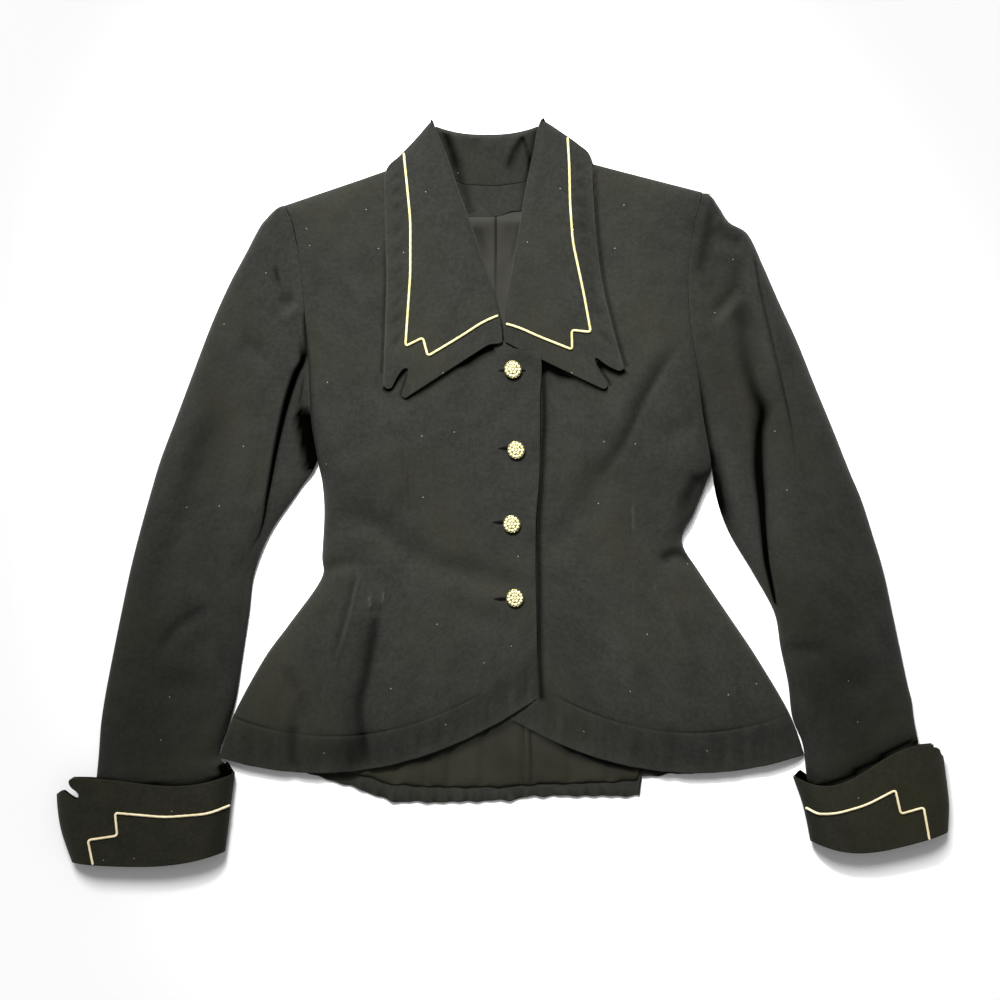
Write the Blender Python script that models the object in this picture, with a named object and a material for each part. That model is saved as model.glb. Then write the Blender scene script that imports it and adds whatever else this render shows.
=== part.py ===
"""Tailored peplum jacket lying on its back on a table: buttoned, sleeves at its sides, cuffs turned back.

Metres, +Z up, z = 0 is the table. Seen from above with the collar at the top, +X is to the right and
+Y to the collar; the wearer's right side is at -X. All sizes and tables below are in millimetres.
Each cloth piece is a run of sections: a table row gives one section's ends, sag and heights, a smooth
curve joins the rows, and the sheet is thickened inwards to a cloth wall.
"""

import math
from collections import namedtuple

import bpy
import numpy as np
from mathutils import Vector
from mathutils.bvhtree import BVHTree

MM = 0.001

# Cloth walls and the gap kept at every seam
FRONT_CLOTH = 1.8
BACK_CLOTH = 1.6
LINING_CLOTH = 1.0
FACING_CLOTH = 1.3
SLEEVE_CLOTH = 1.6
CUFF_CLOTH = 2.4
COLLAR_CLOTH = 2.0
SEAM_GAP = 0.3
LINING_GAP = 0.4
ARMHOLE_GAP = 0.6
EDGE_Z = BACK_CLOTH + SEAM_GAP

# Centre front: the right front laps over the left one
LAP_DROP = 2.7
LAP_START_X = 46.0
LAP_END_X = 72.0
LAP_FLAT = 50.0
LAP_END_Y = 200.0
LAP_FADE = 40.0

# The back rides over the collar's fall behind the neck
FALL_CLOTH = 1.6
NECK_LIFT = FALL_CLOTH + SEAM_GAP
LIFT_START_Y = 212.0
LIFT_FULL_Y = 252.0
LIFT_MIDDLE_X = -13.0
LIFT_FULL_HALF_WIDTH = 94.0
LIFT_END_HALF_WIDTH = 126.0

# Buttons and piping
BUTTON_DIAMETER = 16.5
BUTTON_SIDES = 16
# Turned outline of a button: share of its radius, height
BUTTON_PROFILE = [(1.0, 0.0), (1.0, 2.6), (0.8, 3.9), (0.45, 5.2)]
PIPING_DIAMETER = 2.8
PIPING_SIDES = 6
PIPING_STEP = 10.0
PIPING_CORNER = 3.0
PIPING_STRAIGHT = -0.9

# How finely the sections are drawn
FRONT_STEPS = 2
FRONT_FLAT_COLUMNS = 7
EDGE_STEPS = 8
SLEEVE_FLAT_COLUMNS = 4
UNDER_COLUMNS = 4
CUFF_STEPS = 2
WING_FALL_COLUMNS = 6
ROLL_ANGLES = (0.0, 35.0, 65.0, 90.0)
SHOULDER_ROLL = (0.5, 0.85, 1.0)
SHARP_EDGE = 45.0

CLOTH_COLOUR = (0.020, 0.020, 0.018, 1.0)
LINING_COLOUR = (0.033, 0.030, 0.022, 1.0)
PIPING_COLOUR = (0.78, 0.68, 0.45, 1.0)
BUTTON_COLOUR = (0.72, 0.62, 0.38, 1.0)

# Sections of a front from hem to shoulder: plan ends of each side, and the drop of its middle
FrontRow = namedtuple("FrontRow", "name front_x front_y side_x side_y sag")
RIGHT_FRONT = [
    FrontRow("hem", 31, -189, -261, -242, 37),
    FrontRow("hem stitching", 31, -150, -249, -206, 41),
    FrontRow("hip", 32, -119, -221, -154, 30),
    FrontRow("high hip", 33, -97, -197, -121, 18),
    FrontRow("waist", 34, -74, -168, -80, 5),
    FrontRow("above waist", 35, -51, -167, -58, 0),
    FrontRow("midriff", 35, -22, -165, -18, 0),
    FrontRow("under bust", 35, 12, -167, 10, 0),
    FrontRow("underarm", 35, 48, -171, 30, 0),
    FrontRow("chest", 35, 85, -177, 71, 0),
    FrontRow("break", 35, 129, -179, 122, 0),
    FrontRow("lower neck", 5, 142, -181, 150, 0),
    FrontRow("middle neck", -21, 184, -184, 186, 0),
    FrontRow("upper neck", -40, 232, -188, 218, 0),
    FrontRow("yoke", -58, 278, -193, 246, 0),
    FrontRow("shoulder", -81, 306, -201, 265, 0),
]
LEFT_FRONT = [
    FrontRow("hem", -5, -202, 273, -240, 34),
    FrontRow("hem stitching", -3, -154, 264, -203, 38),
    FrontRow("hip", -7, -119, 234, -152, 28),
    FrontRow("high hip", -8, -97, 212, -119, 16),
    FrontRow("waist", -9, -74, 183, -76, 5),
    FrontRow("above waist", -10, -46, 165, -45, 0),
    FrontRow("midriff", -11, -21, 176, -20, 0),
    FrontRow("under bust", -12, 12, 188, 10, 0),
    FrontRow("underarm", -12, 48, 192, 26, 0),
    FrontRow("chest", -12, 85, 184, 71, 0),
    FrontRow("break", -10, 129, 177, 124, 0),
    FrontRow("lower neck", -3, 142, 172, 154, 0),
    FrontRow("middle neck", 20, 184, 170, 191, 0),
    FrontRow("upper neck", 34, 232, 172, 223, 0),
    FrontRow("yoke", 46, 278, 177, 253, 0),
    FrontRow("shoulder", 60, 309, 184, 277, 0),
]
# Heights of the same sections: centre front, crown, side edge above the back, width of the side's roll
HeightRow = namedtuple("HeightRow", "name front crown side roll")
FRONT_HEIGHTS = [
    HeightRow("hem", 13.0, 16.0, 0.0, 22),
    HeightRow("hem stitching", 14.0, 18.5, 0.0, 25),
    HeightRow("hip", 15.0, 20.0, 0.0, 26),
    HeightRow("high hip", 15.5, 18.5, 0.0, 24),
    HeightRow("waist", 16.0, 16.0, 0.0, 20),
    HeightRow("above waist", 16.0, 16.0, 0.0, 20),
    HeightRow("midriff", 17.0, 18.5, 0.0, 22),
    HeightRow("under bust", 18.0, 22.5, 0.0, 24),
    HeightRow("underarm", 19.0, 26.0, 3.0, 24),
    HeightRow("chest", 19.5, 28.0, 11.0, 22),
    HeightRow("break", 19.5, 27.0, 15.0, 20),
    HeightRow("lower neck", 18.0, 26.0, 16.0, 20),
    HeightRow("middle neck", 15.0, 25.0, 16.5, 20),
    HeightRow("upper neck", 13.5, 24.0, 16.0, 20),
    HeightRow("yoke", 12.0, 21.5, 14.0, 20),
    HeightRow("shoulder", 12.0, 21.5, 14.0, 20),
]
UNDERARM_ROW = 8
YOKE_ROW = 14
# Share of a front's width over which it rises from the flat lap to its crown
CROWN_SPAN = 0.45

# Soft troughs, negative depth for a ridge: ends, half width and depth
Fold = namedtuple("Fold", "name x0 y0 x1 y1 width depth")
# Shares of a fold's length over which it deepens and dies out
FOLD_START_FADE = 0.3
FOLD_END_FADE = 0.15
RIGHT_FRONT_FOLDS = [
    Fold("released dart", -116, -108, -127, -262, 13, 6.0),
    Fold("hip dart ridge", -133, -80, -156, -172, 9, -2.0),
    Fold("hem fold", -193, -205, -195, -255, 12, 3.0),
    Fold("waist dart", -88, 10, -88, -130, 9, 1.6),
    Fold("bust drag", -105, 15, -35, -68, 16, 1.6),
]
LEFT_FRONT_FOLDS = [
    Fold("bust drag", 158, 155, 60, -35, 16, 3.0),
    Fold("waist dart", 118, 30, 118, -75, 9, 1.6),
    Fold("hip dart ridge", 147, -82, 176, -170, 9, -2.0),
    Fold("side waist dent", 146, -62, 172, -58, 10, 3.0),
    Fold("hem fold", 130, -165, 140, -250, 12, 3.0),
]

# Back: hem line, and the neck and shoulder line, each from the wearer's right to the left
BackPoint = namedtuple("BackPoint", "x y")
BACK_HEM = [
    BackPoint(-261, -242), BackPoint(-187, -257), BackPoint(-128, -275), BackPoint(-104, -285),
    BackPoint(-60, -286), BackPoint(5, -284), BackPoint(30, -280), BackPoint(126, -280),
    BackPoint(127, -262), BackPoint(218, -256), BackPoint(273, -240),
]
BACK_TOP = [
    BackPoint(-201, 265), BackPoint(-81, 306), BackPoint(-60, 295), BackPoint(-37, 284),
    BackPoint(-7, 282), BackPoint(22, 286), BackPoint(42, 297), BackPoint(60, 309), BackPoint(184, 277),
]
# Places across and along the back where its sections are drawn, and the reach of what lies on it
BACK_COLUMNS = (0, .08, .157, .235, .313, .368, .428, .507, .582, .634, .681, .7261, .728, .79, .86, .93, 1)
BACK_ROWS = (0, .5, 1, 2, 3, 4, 5, 6, 7, 8, 9, 10, 11, 12, 12.5, 13, 13.5, 14, 14.25, 14.5, 14.75, 15)
LINING_SIDES = (0.035, 0.965)
LINING_ROWS = (0.42, 14.20)
FACING_SIDES = (0.33, 0.66)
FACING_ROWS = (14.24, 14.97)

# Sleeve sections from cap to cuff: plan ends, drop of the middle, crown, and the deep fold beside the
# underarm: how far it lies from the inner edge, and how high the cloth is inside of it
SleeveRow = namedtuple("SleeveRow", "name outer_x outer_y inner_x inner_y sag crown crease flap")
RIGHT_SLEEVE = [
    SleeveRow("shoulder point", -204, 264.5, -201, 264.5, 0, 5, 0, 5),
    SleeveRow("cap top", -210, 261, -200, 261, 0, 14, 0, 14),
    SleeveRow("cap", -218, 253, -197, 254, 0, 17.5, 0, 17.5),
    SleeveRow("cap", -225, 244, -195, 246, 0, 19, 0, 19),
    SleeveRow("cap", -237, 221, -190, 219, 0, 21, 0, 21),
    SleeveRow("cap", -253, 191, -184, 185, 0, 22, 0, 22),
    SleeveRow("upper arm", -269, 155, -181, 150, 0, 23, 0, 21),
    SleeveRow("upper arm", -285, 113, -179, 111, 0, 24, 8, 12),
    SleeveRow("upper arm", -301, 70, -177, 71, 0, 24, 21, 7),
    SleeveRow("underarm", -316, 30, -172, 30, 0, 23, 38, 6),
    SleeveRow("below underarm", -325, 0, -188, 2, 0, 22, 28, 6),
    SleeveRow("above elbow", -335, -36, -214, -36, 0, 21, 10, 11),
    SleeveRow("elbow", -344, -72, -229, -73, 0, 20, 0, 20),
    SleeveRow("below elbow", -352, -110, -234, -110, 0, 20, 0, 20),
    SleeveRow("forearm", -360, -150, -240, -150, 0, 19, 0, 19),
    SleeveRow("forearm", -367, -187, -246, -189, 0, 18, 0, 18),
    SleeveRow("forearm", -371, -214, -257, -216, 0, 17, 0, 17),
    SleeveRow("beside peplum", -373, -241, -263, -242, 0, 16, 0, 16),
    SleeveRow("cuff mouth", -375, -264, -260, -264, 3, 15, 0, 15),
    SleeveRow("in cuff", -379, -296, -264, -294, 5, 14, 0, 14),
    SleeveRow("end", -389, -337, -264, -328, 7, 16, 0, 16),
]
LEFT_SLEEVE = [
    SleeveRow("shoulder point", 189, 276, 184, 276, 0, 7, 0, 7),
    SleeveRow("cap top", 194, 271, 182, 271, 0, 15, 0, 15),
    SleeveRow("cap", 200, 262, 180, 262, 0, 16.5, 0, 16.5),
    SleeveRow("cap", 209, 249, 177, 251, 0, 18.5, 0, 18.5),
    SleeveRow("cap", 226, 238, 174, 236, 0, 20, 0, 20),
    SleeveRow("cap", 240, 209, 171, 207, 0, 21, 0, 21),
    SleeveRow("upper arm", 254, 177, 170, 173, 0, 23, 0, 20),
    SleeveRow("upper arm", 271, 140, 173, 138, 0, 24, 46, 15),
    SleeveRow("upper arm", 287, 100, 179, 100, 0, 24, 48, 10),
    SleeveRow("upper arm", 304, 59, 186, 59, 0, 23, 46, 8),
    SleeveRow("underarm", 319, 21, 192, 26, 0, 22, 44, 8),
    SleeveRow("below underarm", 330, -5, 197, -5, 0, 21, 40, 8),
    SleeveRow("above elbow", 340, -36, 208, -36, 0, 20, 36, 9),
    SleeveRow("elbow", 351, -73, 230, -73, 0, 20, 17, 12),
    SleeveRow("below elbow", 359, -110, 250, -110, 0, 19, 0, 19),
    SleeveRow("forearm", 366, -143, 256, -143, 0, 19, 0, 19),
    SleeveRow("forearm", 373, -176, 263, -176, 0, 18, 0, 18),
    SleeveRow("forearm", 377, -192, 270, -207, 0, 17, 0, 17),
    SleeveRow("beside peplum", 379, -208, 276, -243, 0, 16, 0, 16),
    SleeveRow("cuff mouth", 382, -225, 282, -264, 3, 15, 0, 15),
    SleeveRow("in cuff", 390, -266, 289, -290, 5, 14, 0, 14),
    SleeveRow("end", 401, -309, 292, -316, 11, 16, 0, 16),
]
SLEEVE_ROLL = 24.0
SLEEVE_ROLL_SHARE = 0.42
CREASE_WIDTH = 9.0
CUFF_LIFT = CUFF_CLOTH + SEAM_GAP
CUFF_LIFT_LENGTH = 26.0
ROWS_IN_CUFF = 3
RIGHT_SLEEVE_FOLDS = [
    Fold("forearm trough", -271, 32, -333, -132, 14, 4.0),
    Fold("elbow crease", -271, -102, -315, -148, 10, 4.0),
]
LEFT_SLEEVE_FOLDS = [
    Fold("cap dent", 190, 262, 187, 228, 9, 3.5),
    Fold("upper arm drag", 213, 214, 184, 154, 11, 3.5),
    Fold("elbow crease", 259, -138, 300, -142, 9, 3.0),
]

# Cuff rings from mouth to folded end: plan ends, drop and skew of the middle, height
CuffRow = namedtuple("CuffRow", "name outer_x outer_y inner_x inner_y sag skew height")
RIGHT_CUFF = [
    CuffRow("mouth", -411, -262, -247, -259, 8.5, 5, 25),
    CuffRow("upper", -411, -286, -250, -283, 8.5, 4, 25),
    CuffRow("lower", -407, -312, -253, -308, 9, 2, 24),
    CuffRow("end", -397, -341, -256, -331, 8, 1, 22),
]
LEFT_CUFF = [
    CuffRow("mouth", 404, -231, 267, -262, 4.5, 11, 25),
    CuffRow("upper", 408, -259, 274, -281, 7, 8, 25),
    CuffRow("lower", 411, -287, 279, -300, 10, 5, 24),
    CuffRow("end", 410, -313, 283, -321, 13, 2, 22),
]
CUFF_ROLL = 24.0
CUFF_SIDE_Z = 8.0
CUFF_FLAT_COLUMNS = 5

# Collar wings from the peak at the neck to the lower edge: roll line, outer edge, height of each
WingRow = namedtuple("WingRow", "name roll_x roll_y edge_x edge_y roll_z edge_z lip")
RIGHT_WING = [
    WingRow("peak", -64.5, 343, -68, 341, 8, 3, 3),
    WingRow("behind shoulder", -61, 333, -81, 326, 13, 3, 5),
    WingRow("behind shoulder", -55, 319, -95, 311.5, 16, 4, 6),
    WingRow("shoulder", -48, 300, -108, 297, 19, 9, 7),
    WingRow("yoke", -40, 276, -109, 269, 20, 20, 7),
    WingRow("upper neck", -30, 249, -108, 232, 21, 25, 7),
    WingRow("middle neck", -20, 219, -107, 196, 21.5, 27, 7),
    WingRow("middle neck", -11, 192, -108, 159, 22, 28, 6),
    WingRow("lower neck", -4, 166, -109, 128, 22.5, 29, 2),
    WingRow("break", -1.5, 151, -110, 100, 22.5, 29, 0),
    WingRow("lower edge", -0.5, 138, -110, 73, 22.5, 29, 0),
]
LEFT_WING = [
    WingRow("peak", 35, 344, 38, 343, 8, 3, 3),
    WingRow("behind shoulder", 31, 333, 52, 334, 13, 3, 5),
    WingRow("behind shoulder", 28, 315, 69, 322, 16, 4, 6),
    WingRow("shoulder", 23, 292, 81, 309, 19, 9, 7),
    WingRow("yoke", 18, 264, 83, 278, 20, 20, 7),
    WingRow("upper neck", 14, 237, 86, 237, 21, 25, 7),
    WingRow("middle neck", 9, 212, 91, 195, 21.5, 27, 7),
    WingRow("middle neck", 5, 188, 99, 158, 22, 28, 6),
    WingRow("lower neck", 2, 166, 107, 128, 22.5, 29, 2),
    WingRow("break", 1.5, 151, 114, 103, 22.5, 29, 0),
    WingRow("lower edge", 2, 138, 122, 80, 22.5, 29, 0),
]
WING_LIP_WIDTH = 9.0
WING_LIP_SHARE = 0.4
WING_FALL_POWER = 1.5
WING_CLEARANCE = COLLAR_CLOTH + 3.0 * SEAM_GAP

# Swallow-tail notches: what is cut from a corner, as an outline seen from above
RIGHT_WING_NOTCH = [
    (-125, 94.5), (-105, 94.5), (-99, 98), (-95, 110), (-90.5, 114), (-88.5, 112.5), (-91, 101),
    (-93.3, 90), (-92, 87), (-89, 86), (-86, 81), (-86, 55), (-125, 55),
]
LEFT_WING_NOTCH = [
    (140, 113), (109, 113), (103, 113.8), (93, 119.3), (85.5, 123.5), (84, 122), (86.5, 116.5),
    (96.5, 102.5), (96.8, 98.5), (94, 95.8), (89.5, 95.5), (86, 90), (86, 60), (140, 60),
]
RIGHT_CUFF_NOTCH = [
    (-425, -245), (-398, -245), (-399, -263), (-397.5, -268.5), (-389.5, -277), (-391.5, -281.5),
    (-399, -279.5), (-404.5, -274.5), (-408, -275), (-412, -279), (-425, -279),
]
LEFT_CUFF_NOTCH = [
    (391, -215), (391.5, -229), (395, -234), (398, -236.5), (399.5, -235), (398, -231.5), (401, -230.5),
    (412, -236), (425, -215),
]
NOTCH_BASE = -5.0
NOTCH_TOP = 60.0

# Collar behind the neck: fold line over the stand, seam line and the fall's lower edge
COLLAR_FOLD_ENDS = (-62.0, 32.0)
COLLAR_FOLD_Y = 330.0
COLLAR_FOLD_RISE = 8.0
COLLAR_FOLD_POWER = 2.5
COLLAR_END_RISE = 0.3
COLLAR_END_SLANT = 0.6
COLLAR_SEAM_ENDS = (-54.0, 25.0)
COLLAR_SEAM_GAP = 3.0 * SEAM_GAP
COLLAR_FALL_ENDS = (-95.0, 70.0)
COLLAR_FALL_Y = 258.0
COLLAR_BACK_COLUMNS = 11
# Hairpin of the collar behind the neck: share of the way to the fold, setback from it, height
HairpinRow = namedtuple("HairpinRow", "part share setback z")
COLLAR_HAIRPIN = [
    HairpinRow("fall", 0.0, 0.0, 0.0),
    HairpinRow("fall", 0.5, 0.0, 0.0),
    HairpinRow("fall", 1.0, 7.0, 0.0),
    HairpinRow("fold", 1.0, 2.2, 1.0),
    HairpinRow("fold", 1.0, 0.0, 3.4),
    HairpinRow("fold", 1.0, 1.8, 5.8),
    HairpinRow("stand", 1.0, 6.5, 7.0),
    HairpinRow("stand", 0.5, 0.0, 6.6),
    HairpinRow("stand", 0.0, 0.0, 5.3),
]

# Piping routes seen from above, along the corners of the turned edges
RIGHT_WING_PIPING = [
    (-92, 309), (-88, 280), (-85, 249), (-85, 201), (-90, 136),
    (-75, 142), (-69, 126), (-35, 145), (-9, 160),
]
LEFT_WING_PIPING = [
    (60, 322), (61, 290), (62, 267), (64, 230), (75, 177), (80, 147),
    (63, 148), (63, 131), (31, 143), (9, 152),
]
RIGHT_CUFF_PIPING = [
    (-255, -289), (-271, -295), (-310, -298), (-356, -294), (-354, -315), (-381, -319), (-377, -338),
]
LEFT_CUFF_PIPING = [
    (281, -291), (289, -295), (305, -295), (333, -287), (360, -273), (365, -295), (386, -289), (390, -311),
]

BUTTON_PLACES = [(9, 113), (12, 39), (8, -29), (11, -97)]


def smooth(t):
    """Ease from 0 to 1."""
    t = np.clip(t, 0.0, 1.0)
    return t * t * (3.0 - 2.0 * t)


def quarter(t):
    """Rise of a quarter round, upright at its start."""
    t = np.clip(t, 0.0, 1.0)
    return np.sqrt(1.0 - (1.0 - t) ** 2)


def columns_of(table, *names):
    """Number columns of a table, one array row for each table row."""
    return np.array([[getattr(row, name) for name in names] for row in table], dtype=float)


def along(values, v):
    """Smooth curve through the rows of an array, read at row positions v."""
    v = np.asarray(v, dtype=float)
    last = len(values) - 1
    i = np.clip(np.floor(v).astype(int), 0, last - 1)
    t = (v - i)[:, None]
    p0 = values[np.maximum(i - 1, 0)]
    p1 = values[i]
    p2 = values[i + 1]
    p3 = values[np.minimum(i + 2, last)]
    bend = 2 * p0 - 5 * p1 + 4 * p2 - p3
    twist = -p0 + 3 * p1 - 3 * p2 + p3
    return 0.5 * (2 * p1 + (p2 - p0) * t + bend * t ** 2 + twist * t ** 3)


def trough_depth(x, y, folds):
    """Depth of all soft folds at places in plan."""
    depth = np.zeros_like(x)
    for fold in folds:
        run_x = fold.x1 - fold.x0
        run_y = fold.y1 - fold.y0
        length = math.hypot(run_x, run_y)
        way = ((x - fold.x0) * run_x + (y - fold.y0) * run_y) / length
        off = ((x - fold.x0) * run_y - (y - fold.y0) * run_x) / length
        start = smooth(way / (FOLD_START_FADE * length))
        end = smooth((length - way) / (FOLD_END_FADE * length) + 0.5)
        depth += fold.depth * start * end * np.exp(-(off / fold.width) ** 2)
    return depth


def rest_height(x, y):
    """Height of the back above the table: zero, but over the collar's fall."""
    across = np.abs(x - LIFT_MIDDLE_X)
    span = LIFT_END_HALF_WIDTH - LIFT_FULL_HALF_WIDTH
    rise = smooth((y - LIFT_START_Y) / (LIFT_FULL_Y - LIFT_START_Y))
    return NECK_LIFT * rise * smooth((LIFT_END_HALF_WIDTH - across) / span)


def grid_normals(grid, ring=False):
    """Unit normals of a grid of points; the columns of a ring close on themselves."""
    if ring:
        across = np.roll(grid, -1, axis=1) - np.roll(grid, 1, axis=1)
    else:
        across = np.gradient(grid, axis=1)
    down = np.gradient(grid, axis=0)
    normal = np.cross(across, down)
    return normal / np.linalg.norm(normal, axis=2, keepdims=True)


def material(name, colour, roughness, metallic=0.0):
    made = bpy.data.materials.get(name)
    if made is None:
        made = bpy.data.materials.new(name)
        made.use_nodes = True
        shader = made.node_tree.nodes["Principled BSDF"]
        shader.inputs["Base Color"].default_value = colour
        shader.inputs["Roughness"].default_value = roughness
        shader.inputs["Metallic"].default_value = metallic
    return made


def mesh_object(name, points, faces, finish):
    """Named object from points in millimetres."""
    mesh = bpy.data.meshes.new(name)
    mesh.from_pydata((np.asarray(points) * MM).tolist(), [], faces)
    mesh.validate()
    mesh.materials.append(finish)
    mesh.shade_smooth()
    mesh.set_sharp_from_angle(angle=math.radians(SHARP_EDGE))
    made = bpy.data.objects.new(name, mesh)
    bpy.context.collection.objects.link(made)
    return made


def shell(name, outer, thickness, finish, floor=None, ring=False):
    """Closed cloth wall: the outer grid, the same grid moved inwards but not below a floor, and the edges."""
    inner = outer - thickness * grid_normals(outer, ring)
    if floor is not None:
        inner[:, :, 2] = np.maximum(inner[:, :, 2], floor)
    rows, cols = outer.shape[:2]
    count = rows * cols

    def at(i, j, layer):
        return layer * count + i * cols + j % cols

    end = rows - 1
    side = cols - 1
    spans = cols if ring else side
    faces = []
    for i in range(end):
        for j in range(spans):
            quad = (at(i, j, 0), at(i, j + 1, 0), at(i + 1, j + 1, 0), at(i + 1, j, 0))
            faces.append(quad)
            faces.append(tuple(quad[k] + count for k in (0, 3, 2, 1)))
    for j in range(spans):
        faces.append((at(0, j, 0), at(0, j, 1), at(0, j + 1, 1), at(0, j + 1, 0)))
        faces.append((at(end, j, 0), at(end, j + 1, 0), at(end, j + 1, 1), at(end, j, 1)))
    if not ring:
        for i in range(end):
            faces.append((at(i, 0, 0), at(i + 1, 0, 0), at(i + 1, 0, 1), at(i, 0, 1)))
            faces.append((at(i, side, 0), at(i, side, 1), at(i + 1, side, 1), at(i + 1, side, 0)))
    points = np.concatenate([outer.reshape(-1, 3), inner.reshape(-1, 3)])
    return mesh_object(name, points, faces, finish)


def facing_up(grid):
    """Grid with its columns turned, where needed, so that its normals point up."""
    if grid_normals(grid)[:, :, 2].mean() < 0:
        return grid[:, ::-1]
    return grid


def row_positions(count, steps):
    return np.linspace(0.0, count - 1.0, (count - 1) * steps + 1)


def roll_positions():
    return 1.0 - np.cos(np.radians(ROLL_ANGLES))


def front_values(table):
    """Plan and heights of a front's sections, the side edge lying on the back."""
    plan = columns_of(table, "front_x", "front_y", "side_x", "side_y", "sag")
    heights = columns_of(FRONT_HEIGHTS, "front", "crown", "side", "roll")
    return np.hstack([plan, heights])


def front_sheet(table, folds, lap_under):
    """Outer surface of a front, from hem to shoulder, from side edge to centre front."""
    rows = row_positions(YOKE_ROW + 1, FRONT_STEPS)
    rows = np.concatenate([rows, YOKE_ROW + np.array(SHOULDER_ROLL)])
    values = along(front_values(table), rows)
    grid = []
    for v, row in zip(rows, values):
        front_x, front_y, side_x, side_y, sag, front_z, crown, side_z, roll = row
        width = math.hypot(front_x - side_x, front_y - side_y)
        flat = np.linspace(roll, width, FRONT_FLAT_COLUMNS + 1)[1:]
        way = np.concatenate([roll * roll_positions(), flat])
        u = way / width
        x = side_x + (front_x - side_x) * u
        y = side_y + (front_y - side_y) * u - 4.0 * sag * u * (1.0 - u)
        middle = smooth((width - way - LAP_FLAT) / (CROWN_SPAN * width))
        top = front_z + (crown - front_z) * middle
        rise = quarter(way / roll)
        floor = EDGE_Z + rest_height(x, y)
        edge = floor + side_z
        z = edge + (top - edge) * rise - trough_depth(x, y, folds) * rise
        if v > YOKE_ROW:
            z = floor + (z - floor) * math.sqrt(1.0 - (v - YOKE_ROW) ** 2)
        if lap_under:
            below_neck = smooth((LAP_END_Y - y) / LAP_FADE)
            z -= LAP_DROP * below_neck * smooth((LAP_END_X - x) / (LAP_END_X - LAP_START_X))
        grid.append(np.stack([x, y, z], axis=1))
    return facing_up(np.array(grid))


def make_front(name, table, folds, lap_under, cloth):
    sheet = front_sheet(table, folds, lap_under)
    floor = EDGE_Z + rest_height(sheet[:, :, 0], sheet[:, :, 1])
    return shell(name, sheet, FRONT_CLOTH, cloth, floor)


def side_curve(table):
    """Side edge of a front at fine row positions: x, y and z."""
    rows = row_positions(len(table), EDGE_STEPS)
    values = along(front_values(table), rows)
    x = values[:, 2]
    y = values[:, 3]
    turn = np.sqrt(1.0 - np.clip(rows - YOKE_ROW, 0.0, 1.0) ** 2)
    return x, y, EDGE_Z + rest_height(x, y) + values[:, 7] * turn


def back_point(u, v):
    """Top surface of the back: u across from the wearer's right, v the section as in the fronts."""
    right = along(columns_of(RIGHT_FRONT, "side_x", "side_y", "sag"), v)
    left = along(columns_of(LEFT_FRONT, "side_x", "side_y", "sag"), v)
    x = right[:, :1] + (left[:, :1] - right[:, :1]) * u
    y = right[:, 1:2] + (left[:, 1:2] - right[:, 1:2]) * u
    y = y - 2.0 * (right[:, 2:3] + left[:, 2:3]) * u * (1.0 - u)
    hem = columns_of(BACK_HEM, "x", "y")
    top = columns_of(BACK_TOP, "x", "y")
    at_hem = np.clip(1.0 - v, 0.0, 1.0)[:, None]
    at_top = np.clip(v - YOKE_ROW, 0.0, 1.0)[:, None]
    hem_x = hem[0, 0] + (hem[-1, 0] - hem[0, 0]) * u
    top_x = top[0, 0] + (top[-1, 0] - top[0, 0]) * u
    y = y + at_hem * (np.interp(hem_x, hem[:, 0], hem[:, 1]) - chord_y(0, u))
    y = y + at_top * (np.interp(top_x, top[:, 0], top[:, 1]) - chord_y(-1, u))
    z = rest_height(x, y) + BACK_CLOTH
    return np.stack([x, y, z], axis=2)


def chord_y(section, u):
    """Plain sagging line of one back section, before the hem or neck line is drawn on it."""
    right = RIGHT_FRONT[section]
    left = LEFT_FRONT[section]
    straight = right.side_y + (left.side_y - right.side_y) * u
    return straight - 2.0 * (right.sag + left.sag) * u * (1.0 - u)


def make_back(cloth):
    sheet = back_point(np.array(BACK_COLUMNS), np.array(BACK_ROWS))
    return shell("back", facing_up(sheet), BACK_CLOTH, cloth)


def between(positions, ends):
    """The positions inside a range, with its two ends."""
    inside = [position for position in positions if ends[0] < position < ends[1]]
    return np.array([ends[0]] + inside + [ends[1]])


def lay_on_back(name, sides, rows, thickness, finish):
    """Sheet on the inside of the back, made from the back's own points."""
    sheet = back_point(between(BACK_COLUMNS, sides), between(BACK_ROWS, rows))
    sheet[:, :, 2] += LINING_GAP + thickness
    return shell(name, facing_up(sheet), thickness, finish)


def sleeve_rows(table, front_table):
    """Sleeve sections with the armhole edge taken from the front's side edge, one gap away."""
    values = columns_of(table, "outer_x", "outer_y", "inner_x", "inner_y", "sag", "crown", "crease", "flap")
    edge_x, edge_y, edge_z = side_curve(front_table)
    armhole = slice(EDGE_STEPS * UNDERARM_ROW, None)
    underarm_y = edge_y[armhole][0]
    outward = np.sign(values[0, 0])
    inner_z = np.full(len(values), EDGE_Z)
    for i, row in enumerate(values):
        if row[3] >= underarm_y - 1.0:
            row[2] = np.interp(row[3], edge_y[armhole], edge_x[armhole]) + outward * ARMHOLE_GAP
            inner_z[i] = np.interp(row[3], edge_y[armhole], edge_z[armhole])
    return values, inner_z


def cuff_lift(values):
    """Rise of the sleeve where it goes into its cuff."""
    mouth = values[-ROWS_IN_CUFF]
    reach = np.hypot(values[:, 0] - mouth[0], values[:, 1] - mouth[1])
    before = np.arange(len(values)) < len(values) - ROWS_IN_CUFF
    return CUFF_LIFT * np.where(before, smooth(1.0 - reach / CUFF_LIFT_LENGTH), 1.0)


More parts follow.
